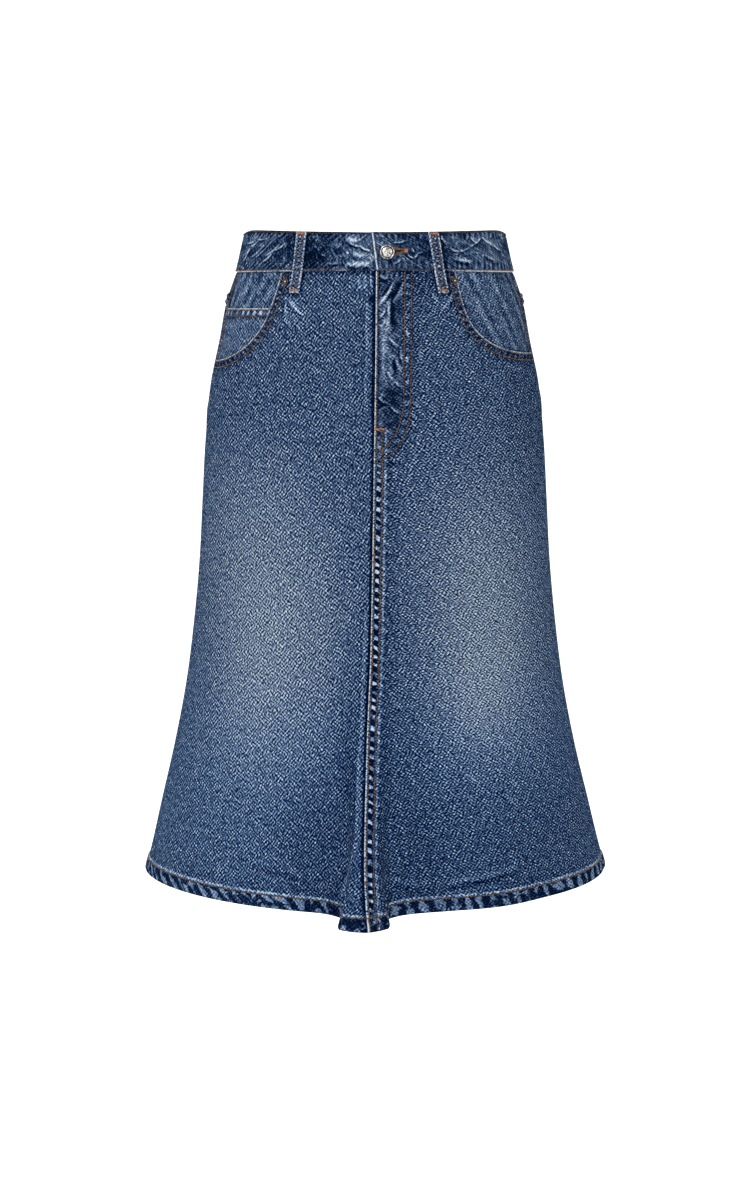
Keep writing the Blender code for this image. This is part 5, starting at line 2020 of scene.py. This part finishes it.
def panels_look(angles, heights):
    """The lift alone, on whichever panel lies at each angle."""
    lift = np.zeros(angles.shape)
    for side, near, far in (("right", -SIDE_SEAM, 0.0), ("left", 0.0, SIDE_SEAM)):
        part = (angles >= near) & (angles < far)
        lift[part] = front_look(side, angles[part], heights[part])["lift"]
    for side, part in (("left", angles >= SIDE_SEAM), ("right", angles < -SIDE_SEAM)):
        lift[part] = back_look(side, angles[part], heights[part])["lift"]
    return {"lift": lift}


sew("hem_stitches", sewn_row(angles, heights, panels_look))

# Yokes and centre back.
for side in ("right", "left"):
    hand = HAND[side]
    for row in (EDGE_ROW, SECOND_ROW):
        end = math.pi - (0.085 if side == "left" else 0.004)
        angles = hand * np.linspace(SIDE_SEAM + 0.012, end, 400)
        heights = yoke_foot(angles) + row
        sew("yoke_stitches", sewn_row(angles, heights, yoke_look, side))
for row in LAP_ROWS:
    heights = np.linspace(row_top(math.pi), row_foot(math.pi), 900)
    angles = math.pi - angle_at(row, heights)
    sew("centre_back_stitches", sewn_row(angles, heights, back_lap_look))

# Waistband: a row under its top edge, one above the seam and one down its end.
band_stop = 2.0 * math.pi - BAND_DIVE - BAND_DIVE_END
band_from = float(angle_at(BAND_END_FOOT + 0.0030, 0.0))
angles = np.linspace(band_from, band_stop, 3000)
sew("waistband_top_stitches",
    sewn_row(angles, band_top(angles) - BAND_TOP_ROW, band_look))
by_button = angles < math.radians(LOOP_ANGLES["front_left"])
for group, part in (("waistband_end_stitches", by_button), ("waistband_stitches", ~by_button)):
    heights = edge_height(WAIST_SEAM, angles[part]) + BAND_FOOT_ROW
    sew(group, sewn_row(angles[part], heights, band_look))
down = np.linspace(0.07, 0.92, 60)
heights = BAND_TOP["front"] + (WAIST_SEAM["front"] - BAND_TOP["front"]) * down
angles = angle_at(band_stop_at(down) + BAND_END_ROW, heights)
sew("waistband_top_stitches", sewn_row(angles, heights, band_look))

# Belt loops: two rows down each and a tack at both ends.
for place_name, degrees in LOOP_ANGLES.items():
    top = float(edge_height(BAND_TOP, math.radians(degrees))) - SEAM_GAP
    heights = np.linspace(top - 0.0035, LOOP_FOOT + 0.0042, 120)
    for sign in (-1, 1):
        off = angle_for_width(0.5 * LOOP_WIDTH - LOOP_ROW, math.radians(degrees), heights)
        angles = loop_line(place_name, heights) + sign * off
        sew("loop_stitches", sewn_row(angles, heights, loop_look, place_name))
    for height in (top - 0.0022, LOOP_FOOT + 0.0026):
        middle = float(loop_line(place_name, np.array(height)))
        lift = lift_at(loop_look, place_name, middle, height) + 0.00035
        sew("bar_tacks", tack(middle, height, 0.0078, 0.0021, lift, 12))

# Buttonhole: its far end shows beside the button, edged with close stitches.
for across in np.linspace(HOLE_FROM, HOLE_TO, 17):
    for sign in (-1, 1):
        height = HOLE_HEIGHT + HOLE_RISE * hole_share(across) + sign * hole_half(across)
        at = float(angle_at(across, height))
        lift = lift_at(band_look, at, height) + 0.0003
        tall = 0.0028 - 0.0008 * float(hole_share(across))
        sew("buttonhole_stitches", tack(at, height, 0.0006, tall, lift, 1))
at = float(angle_at(HOLE_TO + 0.0012, HOLE_HEIGHT + HOLE_RISE))
lift = lift_at(band_look, at, HOLE_HEIGHT) + 0.0004
sew("bar_tacks", tack(at, HOLE_HEIGHT + HOLE_RISE, 0.0026, 0.0040, lift, 4))

THREADS = {
    "bar_tacks": TAN_THREAD,
    "waistband_top_stitches": DARK_THREAD,
    "waistband_end_stitches": DARK_THREAD,
}
for group, rows in SEWN.items():
    place(group, stitches(group, *joined(rows), THREADS.get(group, BROWN_THREAD)))

# ---------------------------------------------------------------- button and rivets


def metal_piece(name, node_name, profile, recess_and_highlight, base, normal, material, steps):
    """A turned piece of metal, with the share of its material's third colour at each point of its
    profile: dark recesses on the button, a pale painted highlight on the rivets.
    """
    points, faces = lathed(profile, base, normal, steps)
    mesh = fill_mesh(name, points, faces, [material])
    mesh.set_sharp_from_angle(angle=math.radians(42))
    layer = mesh.attributes.new("recess_and_highlight", "FLOAT", "POINT")
    values = np.concatenate([np.repeat(recess_and_highlight[1:-1], steps), [recess_and_highlight[0], recess_and_highlight[-1]]])
    layer.data.foreach_set("value", values.astype(np.float32))
    return place(name, mesh, [node_name])


RIM = SHANK_HEIGHT + BUTTON_HEAD
BUTTON_PROFILE = (
    (0.0, RIM + 0.00010),
    (0.0016, RIM + 0.00005),
    (0.0030, RIM - 0.00010),
    (0.0042, RIM - 0.00035),
    (0.0050, RIM - 0.00070),
    (0.0054, RIM - 0.00105),
    (0.0057, RIM - 0.00120),
    (0.0060, RIM - 0.00105),
    (0.0063, RIM - 0.00080),
    (0.0066, RIM - 0.00072),
    (0.0070, RIM - 0.00080),
    (0.0074, RIM - 0.00120),
    (BUTTON_RADIUS, RIM - 0.00185),
    (0.0074, SHANK_HEIGHT + 0.0004),
    (0.0066, SHANK_HEIGHT),
    (SHANK_RADIUS, SHANK_HEIGHT - 0.0001),
    (SHANK_RADIUS, 0.0),
    (0.0, 0.0),
)
angle = float(angle_at(*BUTTON_AT))
BUTTON_RECESS = (
    0.0, 0.0, 0.0, 0.1, 0.4, 0.9, 1.0, 0.9, 0.3, 0.1, 0.3, 0.6, 0.9, 1.0, 1.0, 1.0, 1.0, 1.0,
)
metal_piece("button_head", "button", BUTTON_PROFILE, BUTTON_RECESS,
            lifted(angle, BUTTON_AT[1], float(band_lift(angle)) + LAYER_GAP),
            outward(angle, BUTTON_AT[1]), NICKEL, 56)

RIVET_PROFILE = (
    (0.0, RIVET_HEIGHT + 0.0002),
    (0.0006, RIVET_HEIGHT + 0.0001),
    (0.0011, RIVET_HEIGHT - 0.0002),
    (0.0014, RIVET_HEIGHT - 0.0006),
    (0.0018, RIVET_HEIGHT - 0.0007),
    (0.0026, RIVET_HEIGHT - 0.0005),
    (0.0032, RIVET_HEIGHT - 0.0006),
    (RIVET_RADIUS, RIVET_HEIGHT - 0.0009),
    (0.95 * RIVET_RADIUS, 0.0),
    (0.0, 0.0),
)
# Share of pale painted highlight along each rivet's profile, on the top of its dome.
RIVET_PAINTED_HIGHLIGHT = (1.0, 0.8, 0.1, 0.0, 0.0, 0.1, 0.0, 0.0, 0.0, 0.0)
for side, (across, height) in RIVET_AT.items():
    angle = float(angle_at(across, height))
    metal_piece("rivet_cap_" + side, "rivet_" + side, RIVET_PROFILE, RIVET_PAINTED_HIGHLIGHT,
                lifted(angle, height, LAYER_GAP), outward(angle, height), GUNMETAL, 36)

# ---------------------------------------------------------------- studio

WHITE = (1.0, 1.0, 1.0, 1.0)
FLOOR = -1.05  # height
FLOOR_RADIUS, WALL_CURVE, WALL_HEIGHT = 5.0, 2.0, 2.2


def make_studio():
    """A round pale floor that curves up into a wall all round, seen only from its inner face."""
    profile = [(0.001, FLOOR)] + [(r, FLOOR) for r in np.linspace(0.8, FLOOR_RADIUS, 6)]
    profile += [(FLOOR_RADIUS + WALL_CURVE * math.sin(t), FLOOR + WALL_CURVE * (1 - math.cos(t)))
                for t in np.linspace(0.1, 0.5 * math.pi, 14)]
    profile += [(FLOOR_RADIUS + WALL_CURVE, FLOOR + WALL_CURVE + WALL_HEIGHT * share)
                for share in (0.5, 1.0)]
    profile = np.array(profile)
    turn = np.arange(96) * 2 * math.pi / 96
    points = np.stack(
        [profile[:, :1] * np.cos(turn), profile[:, :1] * np.sin(turn),
         np.repeat(profile[:, 1:], len(turn), axis=1)], axis=-1
    )
    faces = np.stack(tube_corners(len(profile), len(turn))[2], -1).reshape(-1, 4)
    material, tree, shader = new_material("studio_paper")
    fill_sockets(tree, shader, {
        "Base Color": rgb(244, 244, 244, 1.0),
        "Emission Color": WHITE,
        "Emission Strength": 0.45,
        "Roughness": 1.0,
        "Specular IOR Level": 0.0,
    })
    behind = node(tree, "NewGeometry").outputs["Backfacing"]
    clear = node(tree, "BsdfTransparent").outputs[0]
    both = node(tree, "MixShader", {0: behind, 1: shader.outputs[0], 2: clear})
    tree.links.new(both.outputs[0], tree.nodes["Material Output"].inputs["Surface"])
    mesh = fill_mesh("studio", points.reshape(-1, 3), faces, [material])
    studio = bpy.data.objects.new("studio", mesh)
    show(studio)
    studio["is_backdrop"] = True


SKIRT_MIDDLE = (0.0, 0.0, -0.33)


def soft_light(name, at, size, power):
    """A square soft light that faces the skirt's middle."""
    data = bpy.data.lights.new(name, "AREA")
    data.shape, data.size, data.energy = "SQUARE", size, power
    lamp = bpy.data.objects.new(name, data)
    lamp.location = at
    toward = Vector(SKIRT_MIDDLE) - Vector(at)
    lamp.rotation_mode = "QUATERNION"
    lamp.rotation_quaternion = toward.to_track_quat("-Z", "Y")
    show(lamp)


make_studio()
soft_light("key", (-1.7, -2.7, 2.1), 1.3, 150.0)
soft_light("fill", (2.3, -2.4, 0.6), 2.0, 36.0)
soft_light("back", (0.4, 3.0, 2.0), 2.2, 60.0)
world = bpy.data.worlds.new("room")
world.use_nodes = True
background = world.node_tree.nodes["Background"]
fill_sockets(world.node_tree, background, {"Color": WHITE, "Strength": 0.40})
bpy.context.scene.world = world
bpy.context.scene.view_settings.view_transform = "Standard"

shown_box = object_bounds()
boxes = {"cad": cad_box, "visual": shown_box}
{name: [list(corner) for corner in box] for name, box in boxes.items()}
